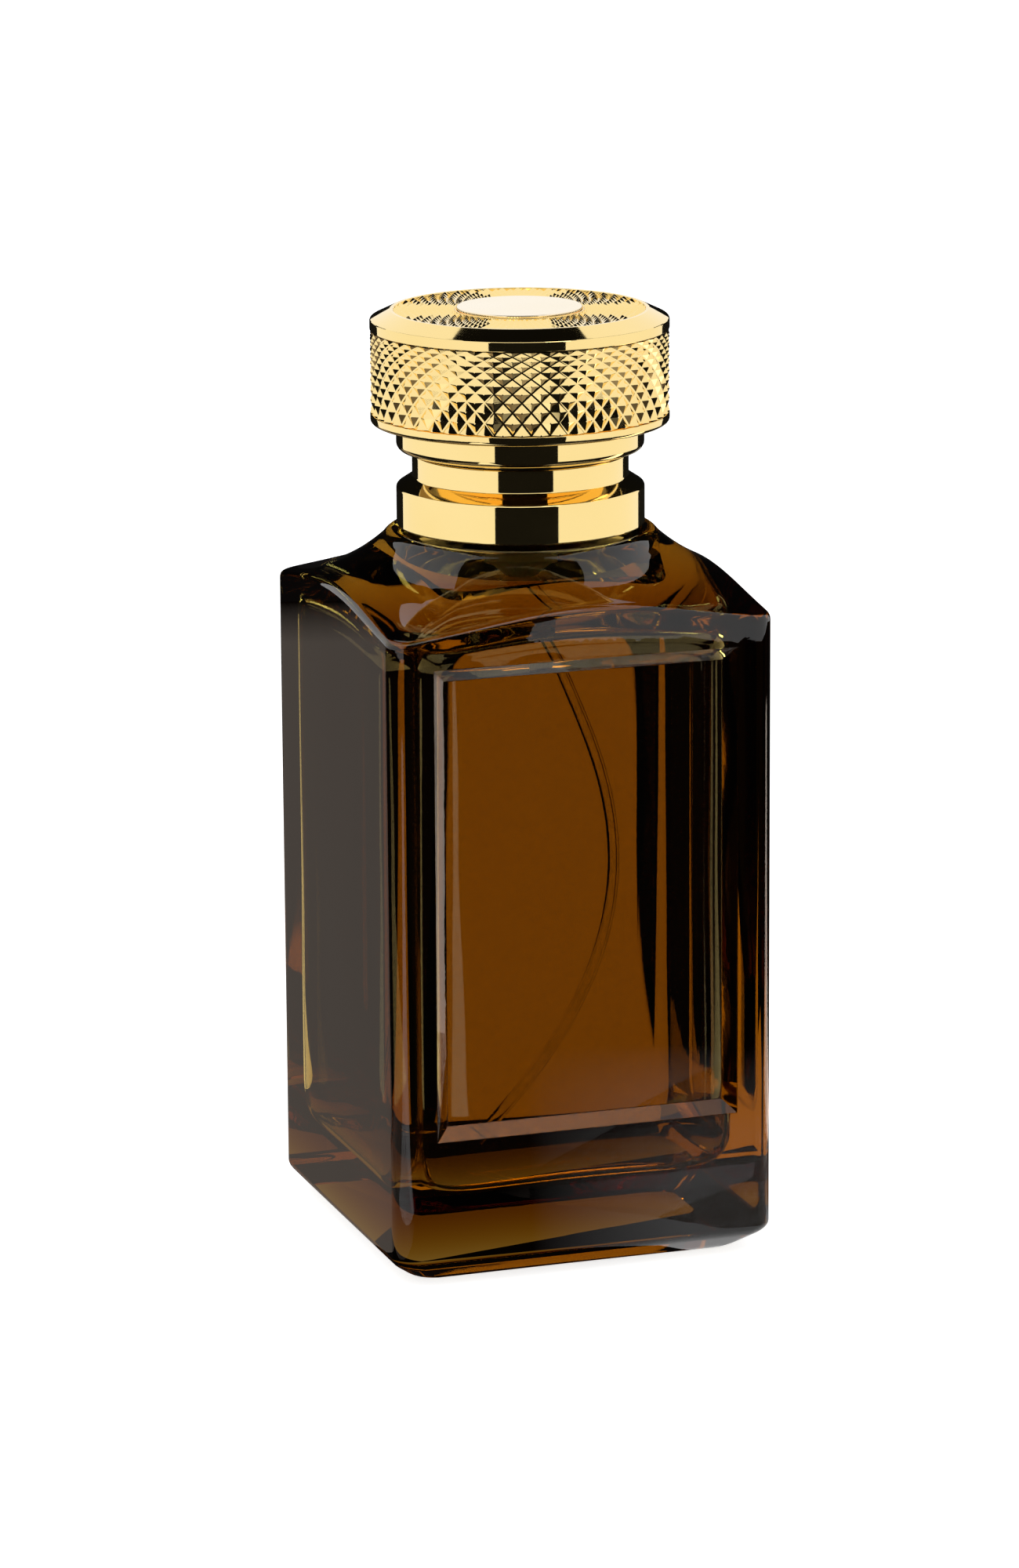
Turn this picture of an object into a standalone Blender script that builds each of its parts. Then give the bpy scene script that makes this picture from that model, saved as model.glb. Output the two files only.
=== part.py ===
"""Square spray perfume bottle with a crimped pump, a gold collar and a weighted, knurled cap.

The bottle stands on z = 0 with its axis on the Z axis, and its recessed panel faces -Y.
Lengths below are in millimetres, and every mesh is scaled to metres by MM.
"""

import math

import bmesh
import bpy
from mathutils import Matrix

MM = 0.001

# Glass body
BODY_WIDTH = 50.0
EDGE_RADIUS = 3.0
BASE_CHAMFER_HEIGHT = 2.9
BASE_CHAMFER_INSET = 3.7
SHOULDER_RADIUS = 17.5
SHOULDER_FOOT = 80.5
SHOULDER_RISE = 9.2
SHOULDER_DECAY = 10.16
RIM_ROUNDING = 0.9
PLATFORM_HEIGHT = 90.75
NECK_RADIUS = 6.5
BEAD_RADIUS = 7.45
BEAD_BOTTOM = 93.3
NECK_TOP = 97.0
BORE_RADIUS = 4.9
CAVITY_WIDTH = 42.0
CAVITY_EDGE_RADIUS = 6.0
FLOOR_THICKNESS = 11.0
FLOOR_ROUNDING = 4.5
ROOF_FOOT = 79.2
ROOF_RISE = 9.4
ROOF_SPREAD = 11.0
ROOF_POWER = 1.3

# Recessed panel in the front face
PANEL_WIDTH = 39.6
PANEL_HEIGHT = 59.9
PANEL_MIDDLE = 48.75
PANEL_DEPTH = 1.2
PANEL_BEVEL = 1.7

# Collar and cap
COLLAR_RADIUS = 15.6
COLLAR_BOTTOM = 91.2
COLLAR_STEP_BOTTOM = 96.1
COLLAR_STEP_TOP = 97.4
COLLAR_NECK_RADIUS = 13.6
COLLAR_TOP = 100.3
UPSTAND_RADIUS = 10.9
UPSTAND_TOP = 106.0
CAP_RADIUS = 18.75
CAP_SKIRT_RADIUS = 15.57
CAP_BOTTOM = 100.7
CAP_HEAD_BOTTOM = 104.17
CAP_BAND_TOP = 117.16
CAP_BEVEL_RADIUS = 16.2
CAP_FACE = 118.37
MEDALLION_RADIUS = 7.85
MEDALLION_TOP = 118.65
LINER_BORE = 11.1
LINER_CEILING = 115.4

# Knurl round the cap
KNURL_BOTTOM = 105.5
KNURL_TOP = 115.8
KNURL_DEPTH = 0.6
KNURL_COLUMNS = 50
KNURL_ROWS = 8

# Pump
CHAMBER_RADIUS = 3.45
STEM_RADIUS = 1.5
STEM_FLANGE_BOTTOM = 94.0
SPRING_SEAT = 87.6
SPRING_RADIUS = 2.4
SPRING_WIRE = 0.2
SPRING_TURNS = 5
BALL_RADIUS = 1.0
BALL_HEIGHT = SPRING_SEAT - 1.98
TUBE_RADIUS = 0.75
TUBE_BORE = 0.45
TUBE_TOP = SPRING_SEAT - 3.8
TAIL_BOTTOM = 81.0
NOZZLE_HEIGHT = 108.0
ACTUATOR_RADIUS = 7.3
ACTUATOR_TOP = 110.6

# Facets round each kind of turned piece
LARGE_FACETS = 40
MEDIUM_FACETS = 24
SMALL_FACETS = 20


def clear_scene():
    for thing in list(bpy.data.objects):
        bpy.data.objects.remove(thing, do_unlink=True)


def finish_material(name, colour, roughness, metallic, alpha=1.0):
    material = bpy.data.materials.new(name)
    material.use_nodes = True
    material.diffuse_color = (*colour, alpha)
    shader = material.node_tree.nodes["Principled BSDF"]
    shader.inputs["Base Color"].default_value = (*colour, 1.0)
    shader.inputs["Roughness"].default_value = roughness
    shader.inputs["Metallic"].default_value = metallic
    return material


def glass_material(name, colour):
    material = finish_material(name, colour, 0.03, 0.0, 0.5)
    shader = material.node_tree.nodes["Principled BSDF"]
    shader.inputs["Transmission Weight"].default_value = 1.0
    shader.inputs["IOR"].default_value = 1.52
    return material


def gold_material(name, roughness):
    return finish_material(name, (1.0, 0.72, 0.30), roughness, 1.0)


def make_object(name, bm, material, sharp_degrees=30.0):
    """Turns a closed bmesh, in millimetres, into a named object in metres."""
    bmesh.ops.scale(bm, verts=bm.verts, vec=(MM, MM, MM))
    bmesh.ops.recalc_face_normals(bm, faces=bm.faces)
    mesh = bpy.data.meshes.new(name)
    bm.to_mesh(mesh)
    bm.free()
    mesh.shade_smooth()
    mesh.set_sharp_from_angle(angle=math.radians(sharp_degrees))
    mesh.materials.append(material)
    piece = bpy.data.objects.new(name, mesh)
    bpy.context.scene.collection.objects.link(piece)
    return piece


def turned(name, outline, material, facets):
    """A solid of revolution about Z. The outline's (radius, height) points close on themselves, or on the axis."""
    bm = bmesh.new()
    corners = [bm.verts.new((radius, 0.0, height)) for radius, height in outline]
    lines = list(zip(corners, corners[1:]))
    if outline[0][0] > 0.0:
        lines.append((corners[-1], corners[0]))
    edges = [bm.edges.new(line) for line in lines]
    bmesh.ops.spin(
        bm,
        geom=corners + edges,
        cent=(0.0, 0.0, 0.0),
        axis=(0.0, 0.0, 1.0),
        angle=math.tau,
        steps=facets,
    )
    bmesh.ops.remove_doubles(bm, verts=bm.verts, dist=0.0005)
    return make_object(name, bm, material)


def cutter(name, bm):
    """A closed shape that only takes material away."""
    tool = make_object(name, bm, finish_material(name, (0.5, 0.5, 0.5), 0.5, 0.0))
    tool.hide_render = True
    tool.display_type = "WIRE"
    return tool


def rod_cutter(name, radius, start, end, height, facets=16):
    """A round cutter along Y, from y = start to y = end at one height."""
    bm = bmesh.new()
    bmesh.ops.create_cone(
        bm, cap_ends=True, segments=facets, radius1=radius, radius2=radius, depth=abs(end - start)
    )
    bmesh.ops.rotate(bm, verts=bm.verts, cent=(0, 0, 0), matrix=along_y())
    bmesh.ops.translate(bm, verts=bm.verts, vec=(0.0, (start + end) / 2, height))
    return cutter(name, bm)


def along_y():
    """The rotation that lays the Z axis along -Y."""
    return Matrix.Rotation(math.pi / 2, 3, "X")


def cut(piece, tool):
    modifier = piece.modifiers.new("cut_" + tool.name, "BOOLEAN")
    modifier.operation = "DIFFERENCE"
    modifier.solver = "EXACT"
    modifier.object = tool


# ---------------------------------------------------------------- glass


def square_reach(angle, half_width, corner_radius):
    """Distance from the axis to a rounded square's side, in the direction of the angle."""
    quarter = math.pi / 2
    off = abs((angle + quarter / 2) % quarter - quarter / 2)
    straight = half_width - corner_radius
    if math.tan(off) <= straight / half_width:
        return half_width / math.cos(off)
    middle = straight * (math.cos(off) + math.sin(off))
    return middle + math.sqrt(middle**2 - 2 * straight**2 + corner_radius**2)


def body_directions():
    """Angles round the body: evenly along each side, and closer together round each rounded edge."""
    straight = BODY_WIDTH / 2 - EDGE_RADIUS
    side = [math.radians(9 * step) for step in range(-4, 5)]
    edge = []
    for step in range(5):
        turn = math.radians(22.5 * step)
        x = straight + EDGE_RADIUS * math.cos(turn)
        y = straight + EDGE_RADIUS * math.sin(turn)
        edge.append(math.atan2(y, x))
    return [angle + quarter * math.pi / 2 for quarter in range(4) for angle in side + edge]


def shoulder_height(radius):
    """Height of the hollowed shoulder, which falls away from the platform round the neck."""
    return SHOULDER_FOOT + SHOULDER_RISE * math.exp(-(radius - SHOULDER_RADIUS) / SHOULDER_DECAY)


def roof_height(radius):
    """Height of the cavity's roof, from the neck bore out to the walls."""
    return ROOF_FOOT + ROOF_RISE * math.exp(-(((radius - BORE_RADIUS) / ROOF_SPREAD) ** ROOF_POWER))


def bent(start, corner, end, amount):
    """A point along the round bend that replaces a corner."""
    keep = 1.0 - amount
    return tuple(
        keep * keep * a + 2 * keep * amount * b + amount * amount * c
        for a, b, c in zip(start, corner, end)
    )


def outer_section(angle):
    """The glass's outer (radius, height) points in one direction, from the base to the neck's lip."""
    reach = square_reach(angle, BODY_WIDTH / 2, EDGE_RADIUS)
    top = shoulder_height(reach)
    rim_inner = (reach - RIM_ROUNDING, shoulder_height(reach - RIM_ROUNDING))
    rim_outer = (reach, top - RIM_ROUNDING)
    foot = square_reach(angle, BODY_WIDTH / 2 - BASE_CHAMFER_INSET, EDGE_RADIUS)
    points = [(foot, 0.0), (reach, BASE_CHAMFER_HEIGHT)]
    points += [bent(rim_outer, (reach, top), rim_inner, amount / 3) for amount in range(4)]
    for step in range(1, 6):
        radius = rim_inner[0] + (SHOULDER_RADIUS - rim_inner[0]) * step / 6
        points.append((radius, shoulder_height(radius)))
    slope_top = (SHOULDER_RADIUS, shoulder_height(SHOULDER_RADIUS))
    platform_edge = (SHOULDER_RADIUS - 1.6, PLATFORM_HEIGHT)
    crown = (SHOULDER_RADIUS - 0.7, PLATFORM_HEIGHT)
    points += [bent(slope_top, crown, platform_edge, amount / 2) for amount in range(3)]
    points += [
        (NECK_RADIUS + 0.7, PLATFORM_HEIGHT),
        (NECK_RADIUS, PLATFORM_HEIGHT + 0.7),
        (NECK_RADIUS, BEAD_BOTTOM - 0.2),
        (BEAD_RADIUS, BEAD_BOTTOM + 0.5),
        (BEAD_RADIUS, NECK_TOP - 0.4),
        (BEAD_RADIUS - 0.4, NECK_TOP),
    ]
    return points


def inner_section(angle):
    """The cavity's (radius, height) points in one direction, from the neck's lip down to the floor."""
    reach = square_reach(angle, CAVITY_WIDTH / 2, CAVITY_EDGE_RADIUS)
    points = [(BORE_RADIUS, NECK_TOP), (BORE_RADIUS, roof_height(BORE_RADIUS) + 1.0)]
    for step in range(1, 5):
        radius = BORE_RADIUS + (reach - 2.5 - BORE_RADIUS) * step / 5
        points.append((radius, roof_height(radius)))
    roof_end = (reach - 2.5, roof_height(reach - 2.5))
    wall_top = (reach, roof_height(reach) - 3.5)
    points += [bent(roof_end, (reach, roof_height(reach)), wall_top, amount / 3) for amount in range(4)]
    wall_foot = (reach, FLOOR_THICKNESS + FLOOR_ROUNDING)
    floor_edge = (reach - FLOOR_ROUNDING, FLOOR_THICKNESS)
    points += [bent(wall_foot, (reach, FLOOR_THICKNESS), floor_edge, amount / 3) for amount in range(4)]
    return points


def glass_bottle(material):
    """One skin: up the outside, over the lip, down the inside, closed by the base and the cavity's floor."""
    bm = bmesh.new()
    directions = body_directions()
    sections = []
    for angle in directions:
        points = outer_section(angle) + inner_section(angle)
        sections.append(
            [bm.verts.new((r * math.cos(angle), r * math.sin(angle), z)) for r, z in points]
        )
    for here, there in zip(sections, sections[1:] + sections[:1]):
        for low in range(len(here) - 1):
            bm.faces.new((here[low], there[low], there[low + 1], here[low + 1]))
    bm.faces.new([section[0] for section in reversed(sections)])
    bm.faces.new([section[-1] for section in sections])
    bottle = make_object("glass_bottle", bm, material)
    cut(bottle, panel_cutter())
    return bottle


def panel_cutter():
    """A shallow frustum that leaves the recessed panel with its bevelled frame."""
    bm = bmesh.new()
    face = -BODY_WIDTH / 2
    overshoot = 1.0
    spread = PANEL_BEVEL * overshoot / PANEL_DEPTH
    rims = []
    for y, grow in ((face + PANEL_DEPTH, -PANEL_BEVEL), (face - overshoot, spread)):
        half = PANEL_WIDTH / 2 + grow
        low = PANEL_MIDDLE - PANEL_HEIGHT / 2 - grow
        high = PANEL_MIDDLE + PANEL_HEIGHT / 2 + grow
        corners = ((-half, low), (half, low), (half, high), (-half, high))
        rims.append([bm.verts.new((x, y, z)) for x, z in corners])
    inner, outer = rims
    bm.faces.new(inner)
    bm.faces.new(outer[::-1])
    for i in range(4):
        j = (i + 1) % 4
        bm.faces.new((inner[i], outer[i], outer[j], inner[j]))
    return cutter("panel_cutter", bm)


# ---------------------------------------------------------------- pump


def neck_gasket(material):
    outline = [(4.95, 97.1), (7.3, 97.1), (7.3, 98.0), (4.95, 98.0)]
    return turned("neck_gasket", outline, material, MEDIUM_FACETS)


def crimp_ferrule(material):
    """A thin cup over the neck's bead, rolled in beneath it, with a turret for the stem."""
    outline = [
        (6.85, 92.35),
        (8.2, 92.35),
        (8.2, 98.95),
        (7.9, 99.25),
        (4.5, 99.25),
        (4.5, 101.45),
        (2.1, 101.45),
        (2.1, 101.05),
        (4.1, 101.05),
        (4.1, 98.85),
        (7.75, 98.85),
        (7.75, 93.0),
        (6.85, 92.8),
    ]
    return turned("crimp_ferrule", outline, material, MEDIUM_FACETS)


def pump_housing(material):
    """The pump's cylinder: flange on the neck, chamber, ball seat and the socket for the dip tube."""
    outline = [
        (CHAMBER_RADIUS, 98.7),
        (CHAMBER_RADIUS, SPRING_SEAT),
        (0.85, SPRING_SEAT),
        (0.85, SPRING_SEAT - 0.6),
        (1.3, SPRING_SEAT - 0.6),
        (1.3, BALL_HEIGHT - 0.02),
        (0.7, BALL_HEIGHT - 0.82),
        (0.7, TUBE_TOP + 0.15),
        (TUBE_RADIUS + 0.15, TUBE_TOP + 0.15),
        (TUBE_RADIUS + 0.15, TAIL_BOTTOM),
        (1.45, TAIL_BOTTOM),
        (1.6, TUBE_TOP - 0.1),
        (4.5, SPRING_SEAT - 1.4),
        (4.5, 98.1),
        (7.3, 98.1),
        (7.3, 98.7),
    ]
    return turned("pump_housing", outline, material, SMALL_FACETS)


def pump_closure(material):
    """The plug that shuts the cylinder's top and guides the stem."""
    outline = [(1.75, 97.95), (3.3, 97.95), (3.3, 98.85), (3.95, 98.85), (3.95, 100.95), (1.75, 100.95)]
    return turned("pump_closure", outline, material, SMALL_FACETS)


def stem_seal(material):
    outline = [(1.62, 97.3), (3.25, 97.3), (3.25, 97.85), (1.62, 97.85)]
    return turned("stem_seal", outline, material, SMALL_FACETS)


def stem(material):
    """The hollow shaft that carries the actuator, with its flange and an inlet port across it."""
    outline = [
        (0.0, STEM_FLANGE_BOTTOM),
        (2.9, STEM_FLANGE_BOTTOM),
        (2.9, STEM_FLANGE_BOTTOM + 0.6),
        (STEM_RADIUS, STEM_FLANGE_BOTTOM + 0.6),
        (STEM_RADIUS, 107.6),
        (0.6, 107.6),
        (0.6, STEM_FLANGE_BOTTOM + 1.2),
        (0.0, STEM_FLANGE_BOTTOM + 1.2),
    ]
    shaft = turned("stem", outline, material, SMALL_FACETS)
    cut(shaft, rod_cutter("stem_port_cutter", 0.3, -2.0, 2.0, STEM_FLANGE_BOTTOM + 2.1, 8))
    return shaft


def piston(material):
    """The lipped seal that the stem pushes down the cylinder."""
    foot = STEM_FLANGE_BOTTOM + 0.75
    outline = [
        (1.65, foot),
        (3.0, foot),
        (3.3, foot + 0.25),
        (3.3, foot + 0.75),
        (2.8, foot + 1.05),
        (2.8, foot + 1.55),
        (3.3, foot + 1.85),
        (3.3, foot + 2.25),
        (2.4, foot + 2.25),
        (1.65, foot + 1.95),
    ]
    return turned("piston", outline, material, SMALL_FACETS)


def return_spring(material):
    """A helix of round wire between the cylinder's seat and the stem's flange."""
    bottom = SPRING_SEAT + SPRING_WIRE + 0.1
    top = STEM_FLANGE_BOTTOM - SPRING_WIRE - 0.1
    steps_per_turn = 10
    count = SPRING_TURNS * steps_per_turn
    curve = bpy.data.curves.new("return_spring", "CURVE")
    curve.dimensions = "3D"
    curve.bevel_depth = SPRING_WIRE * MM
    curve.bevel_resolution = 1
    curve.use_fill_caps = True
    line = curve.splines.new("POLY")
    line.points.add(count)
    for step in range(count + 1):
        turn = math.tau * step / steps_per_turn
        height = bottom + (top - bottom) * step / count
        x = SPRING_RADIUS * math.cos(turn)
        y = SPRING_RADIUS * math.sin(turn)
        line.points[step].co = (x * MM, y * MM, height * MM, 1.0)
    curve.materials.append(material)
    spring = bpy.data.objects.new("return_spring", curve)
    bpy.context.scene.collection.objects.link(spring)
    return spring


def check_ball(material):
    bm = bmesh.new()
    bmesh.ops.create_icosphere(bm, subdivisions=2, radius=BALL_RADIUS)
    ball = make_object("check_ball", bm, material)
    ball.location.z = BALL_HEIGHT * MM
    return ball


def tube_route(count):
    """Points and directions down the dip tube: straight in its socket, then bowed towards +X down to the floor."""
    ends = ((0.0, TAIL_BOTTOM), (4.0, 66.0), (24.0, 44.0), (-9.0, 13.2))
    route = [((0.0, TUBE_TOP), (0.0, -1.0))]
    for step in range(count + 1):
        t = step / count
        s = 1.0 - t
        weights = (s**3, 3 * s * s * t, 3 * s * t * t, t**3)
        slopes = (-3 * s * s, 3 * s * s - 6 * s * t, 6 * s * t - 3 * t * t, 3 * t * t)
        point = tuple(sum(w * end[axis] for w, end in zip(weights, ends)) for axis in (0, 1))
        slope = tuple(sum(w * end[axis] for w, end in zip(slopes, ends)) for axis in (0, 1))
        route.append((point, slope))
    return route


def dip_tube(material):
    """A hollow tube swept along its route, which lies in the plane y = 0."""
    bm = bmesh.new()
    sides = 8
    sleeves = {TUBE_RADIUS: [], TUBE_BORE: []}
    for (x, z), (dx, dz) in tube_route(17):
        length = math.hypot(dx, dz)
        across = (-dz / length, dx / length)
        for radius, rings in sleeves.items():
            ring = []
            for side in range(sides):
                turn = math.tau * side / sides
                out = radius * math.cos(turn)
                ring.append(
                    bm.verts.new((x + across[0] * out, radius * math.sin(turn), z + across[1] * out))
                )
            rings.append(ring)
    skin, bore = sleeves[TUBE_RADIUS], sleeves[TUBE_BORE]
    loops = skin + bore[::-1] + skin[:1]
    for here, there in zip(loops, loops[1:]):
        for side in range(sides):
            after = (side + 1) % sides
            bm.faces.new((here[side], here[after], there[after], there[side]))
    return make_object("dip_tube", bm, material)


# ---------------------------------------------------------------- actuator


def actuator_core(material):
    """The plastic head: socket for the stem, pocket for the nozzle insert and the channel between them."""
    outline = [
        (0.0, 108.5),
        (1.62, 108.5),
        (1.62, 105.8),
        (5.9, 105.8),
        (5.9, 104.4),
        (6.75, 104.4),
        (6.75, 109.9),
        (0.0, 109.9),
    ]
    core = turned("actuator_core", outline, material, MEDIUM_FACETS)
    cut(core, rod_cutter("nozzle_pocket_cutter", 1.45, -8.0, -4.6, NOZZLE_HEIGHT))
    cut(core, rod_cutter("nozzle_channel_cutter", 0.35, -5.0, -1.2, NOZZLE_HEIGHT + 0.05, 8))
    return core


def actuator_shell(material):
    """The thin metal cap over the head, pierced for the nozzle."""
    outline = [
        (0.0, 110.1),
        (6.9, 110.1),
        (6.9, 104.5),
        (ACTUATOR_RADIUS, 104.5),
        (ACTUATOR_RADIUS, ACTUATOR_TOP - 0.45),
        (ACTUATOR_RADIUS - 0.4, ACTUATOR_TOP),
        (0.0, ACTUATOR_TOP),
    ]
    shell = turned("actuator_shell", outline, material, MEDIUM_FACETS)
    cut(shell, rod_cutter("nozzle_window_cutter", 1.7, -8.5, -5.5, NOZZLE_HEIGHT))
    return shell


def nozzle_insert(material):
    """The spray orifice: a small cup lying along -Y in the head's pocket."""
    outline = [(0.2, 4.75), (1.3, 4.75), (1.3, 7.0), (0.8, 7.0), (0.45, 6.4), (0.2, 6.4)]
    insert = turned("nozzle_insert", outline, material, 16)
    insert.rotation_euler.x = math.pi / 2
    insert.location.z = NOZZLE_HEIGHT * MM
    return insert


# ---------------------------------------------------------------- collar and cap


def collar_shell(material):
    wall = 0.6
    outline = [
        (COLLAR_RADIUS - wall, COLLAR_BOTTOM),
        (COLLAR_RADIUS, COLLAR_BOTTOM),
        (COLLAR_RADIUS, COLLAR_STEP_BOTTOM),
        (COLLAR_NECK_RADIUS, COLLAR_STEP_TOP),
        (COLLAR_NECK_RADIUS, COLLAR_TOP),
        (UPSTAND_RADIUS + 0.3, COLLAR_TOP),
        (UPSTAND_RADIUS + 0.3, COLLAR_TOP - wall),
        (COLLAR_NECK_RADIUS - wall, COLLAR_TOP - wall),
        (COLLAR_NECK_RADIUS - wall, COLLAR_STEP_TOP - 0.35),
        (COLLAR_RADIUS - wall, COLLAR_STEP_BOTTOM - 0.35),
    ]
    return turned("collar_shell", outline, material, LARGE_FACETS)


def collar_sleeve(material):
    """The plastic ring that grips the ferrule, and whose upstand holds the cap."""
    outline = [
        (8.6, 91.4),
        (8.6, 99.35),
        (7.0, 99.35),
        (7.0, 100.1),
        (9.6, 100.1),
        (9.6, 105.6),
        (9.9, UPSTAND_TOP),
        (UPSTAND_RADIUS - 0.4, UPSTAND_TOP),
        (UPSTAND_RADIUS, UPSTAND_TOP - 0.6),
        (UPSTAND_RADIUS, 99.4),
        (12.7, 99.4),
        (12.7, 96.9),
        (14.7, 95.6),
        (14.7, 91.4),
    ]
    return turned("collar_sleeve", outline, material, MEDIUM_FACETS)


def cap_body(material):
    """Skirt, lower band and the tube inside the knurled sleeve, with an annular pocket for the weight."""
    outline = [
        (12.3, CAP_BOTTOM + 0.1),
        (14.7, CAP_BOTTOM),
        (CAP_SKIRT_RADIUS - 0.25, CAP_BOTTOM + 0.3),
        (CAP_SKIRT_RADIUS, CAP_BOTTOM + 1.0),
        (CAP_SKIRT_RADIUS, CAP_HEAD_BOTTOM),
        (CAP_RADIUS - 0.4, CAP_HEAD_BOTTOM),
        (CAP_RADIUS, CAP_HEAD_BOTTOM + 0.4),
        (CAP_RADIUS, KNURL_BOTTOM - 0.1),
        (17.6, KNURL_BOTTOM - 0.1),
        (17.6, 115.7),
        (17.05, 115.7),
        (17.05, 105.4),
        (12.3, 105.4),
    ]
    return turned("cap_body", outline, material, LARGE_FACETS)


def knurled_sleeve(material):
    """A ring covered in rows of four-sided points, each row set half a point round from the last."""
    bm = bmesh.new()
    pitch = math.tau / KNURL_COLUMNS
    valley = CAP_RADIUS - KNURL_DEPTH

    def ring(radius, height, shift):
        angles = [(column + shift) * pitch for column in range(KNURL_COLUMNS)]
        return [bm.verts.new((radius * math.cos(a), radius * math.sin(a), height)) for a in angles]

    heights = [
        KNURL_BOTTOM + (KNURL_TOP - KNURL_BOTTOM) * row / (KNURL_ROWS - 1) for row in range(KNURL_ROWS)
    ]
    valleys = [ring(valley, height, 0.5 * (row % 2)) for row, height in enumerate(heights)]
    peaks = []
    for row, height in enumerate(heights):
        at_end = row in (0, KNURL_ROWS - 1)
        peaks.append(ring(valley if at_end else CAP_RADIUS - 0.03, height, 0.5 * ((row + 1) % 2)))
    for row in range(KNURL_ROWS):
        for column in range(KNURL_COLUMNS):
            left, right = (column, column + 1) if row % 2 == 0 else (column - 1, column)
            left %= KNURL_COLUMNS
            right %= KNURL_COLUMNS
            peak = peaks[row][column]
            for other in (row - 1, row + 1):
                if 0 <= other < KNURL_ROWS:
                    tip = valleys[other][column]
                    bm.faces.new((peak, valleys[row][left], tip))
                    bm.faces.new((peak, tip, valleys[row][right]))
    bores = [ring(17.75, height, 0.0) for height in (KNURL_BOTTOM, KNURL_TOP)]
    for row, bore in zip((0, KNURL_ROWS - 1), bores):
        for column in range(KNURL_COLUMNS):
            after = (column + 1) % KNURL_COLUMNS
            if row % 2 == 0:
                rim = [valleys[row][column], peaks[row][column], valleys[row][after]]
                bm.faces.new((bore[column], *rim, bore[after]))
            else:
                rim = [peaks[row][column], valleys[row][column], peaks[row][after]]
                bm.faces.new((bore[column], *rim, bore[after]))
    for column in range(KNURL_COLUMNS):
        after = (column + 1) % KNURL_COLUMNS
        bm.faces.new((bores[0][column], bores[0][after], bores[1][after], bores[1][column]))
    return make_object("knurled_sleeve", bm, material)


def cap_top(material):
    """The lid of the cap: upper band, bevel and the face round the medallion's recess."""
    recess = MEDALLION_RADIUS + 0.15
    outline = [
        (0.0, 116.15),
        (17.5, 116.15),
        (17.5, KNURL_TOP + 0.1),
        (CAP_RADIUS, KNURL_TOP + 0.1),
        (CAP_RADIUS, CAP_BAND_TOP),
        (CAP_BEVEL_RADIUS, CAP_FACE),
        (recess, CAP_FACE),
        (recess, CAP_FACE - 0.5),
        (0.0, CAP_FACE - 0.5),
    ]
    return turned("cap_top", outline, material, LARGE_FACETS)


def cap_medallion(material):
    outline = [
        (0.0, CAP_FACE - 0.4),
        (MEDALLION_RADIUS, CAP_FACE - 0.4),
        (MEDALLION_RADIUS, MEDALLION_TOP - 0.15),
        (MEDALLION_RADIUS - 0.15, MEDALLION_TOP),
        (0.0, MEDALLION_TOP),
    ]
    return turned("cap_medallion", outline, material, LARGE_FACETS)


def cap_weight(material):
    outline = [(12.45, 105.55), (16.9, 105.55), (16.9, 115.3), (12.45, 115.3)]
    return turned("cap_weight", outline, material, MEDIUM_FACETS)


def cap_liner(material):
    """The plastic cup inside the cap, with a groove for the grip ring near its mouth."""
    outline = [
        (0.0, LINER_CEILING),
        (LINER_BORE, LINER_CEILING),
        (LINER_BORE, 103.9),
        (11.6, 103.9),
        (11.6, 102.7),
        (LINER_BORE, 102.7),
        (LINER_BORE, 101.0),
        (12.1, 101.0),
        (12.1, 116.0),
        (0.0, 116.0),
    ]
    return turned("cap_liner", outline, material, MEDIUM_FACETS)


def cap_grip_ring(material):
    outline = [(11.05, 102.8), (11.5, 102.8), (11.5, 103.8), (11.05, 103.8)]
    return turned("cap_grip_ring", outline, material, MEDIUM_FACETS)


def build():
    clear_scene()
    glass_bottle(glass_material("amber_glass", (0.36, 0.14, 0.02)))

    natural_plastic = finish_material("natural_plastic", (0.78, 0.78, 0.76), 0.4, 0.0)
    pump_housing(natural_plastic)
    pump_closure(natural_plastic)
    stem(natural_plastic)
    piston(finish_material("piston_plastic", (0.86, 0.86, 0.84), 0.45, 0.0))
    dip_tube(finish_material("tube_plastic", (0.82, 0.83, 0.82), 0.3, 0.0))

    rubber = finish_material("seal_rubber", (0.05, 0.05, 0.05), 0.8, 0.0)
    neck_gasket(rubber)
    stem_seal(rubber)

    steel = finish_material("spring_steel", (0.62, 0.62, 0.62), 0.25, 1.0)
    return_spring(steel)
    check_ball(steel)

    thin_gold = gold_material("anodised_gold", 0.12)
    crimp_ferrule(thin_gold)
    actuator_shell(thin_gold)

    black_plastic = finish_material("black_plastic", (0.02, 0.02, 0.02), 0.4, 0.0)
    actuator_core(black_plastic)
    nozzle_insert(black_plastic)
    collar_sleeve(black_plastic)
    cap_liner(black_plastic)
    cap_grip_ring(finish_material("grip_rubber", (0.04, 0.04, 0.04), 0.7, 0.0))

    polished_gold = gold_material("polished_gold", 0.06)
    collar_shell(polished_gold)
    cap_body(polished_gold)
    knurled_sleeve(polished_gold)
    cap_top(polished_gold)
    cap_medallion(gold_material("medallion_gold", 0.1))
    cap_weight(finish_material("weight_steel", (0.5, 0.5, 0.5), 0.35, 1.0))


build()
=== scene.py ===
"""The looks of the square amber perfume bottle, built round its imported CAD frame.

Shapes are worked out in millimetres and scaled to metres by MM. The bottle stands on z = 0 with its
axis on Z, and its recessed panel faces -Y.
"""

import math

import bmesh
import bpy
from mathutils import Matrix, Vector, noise


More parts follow.
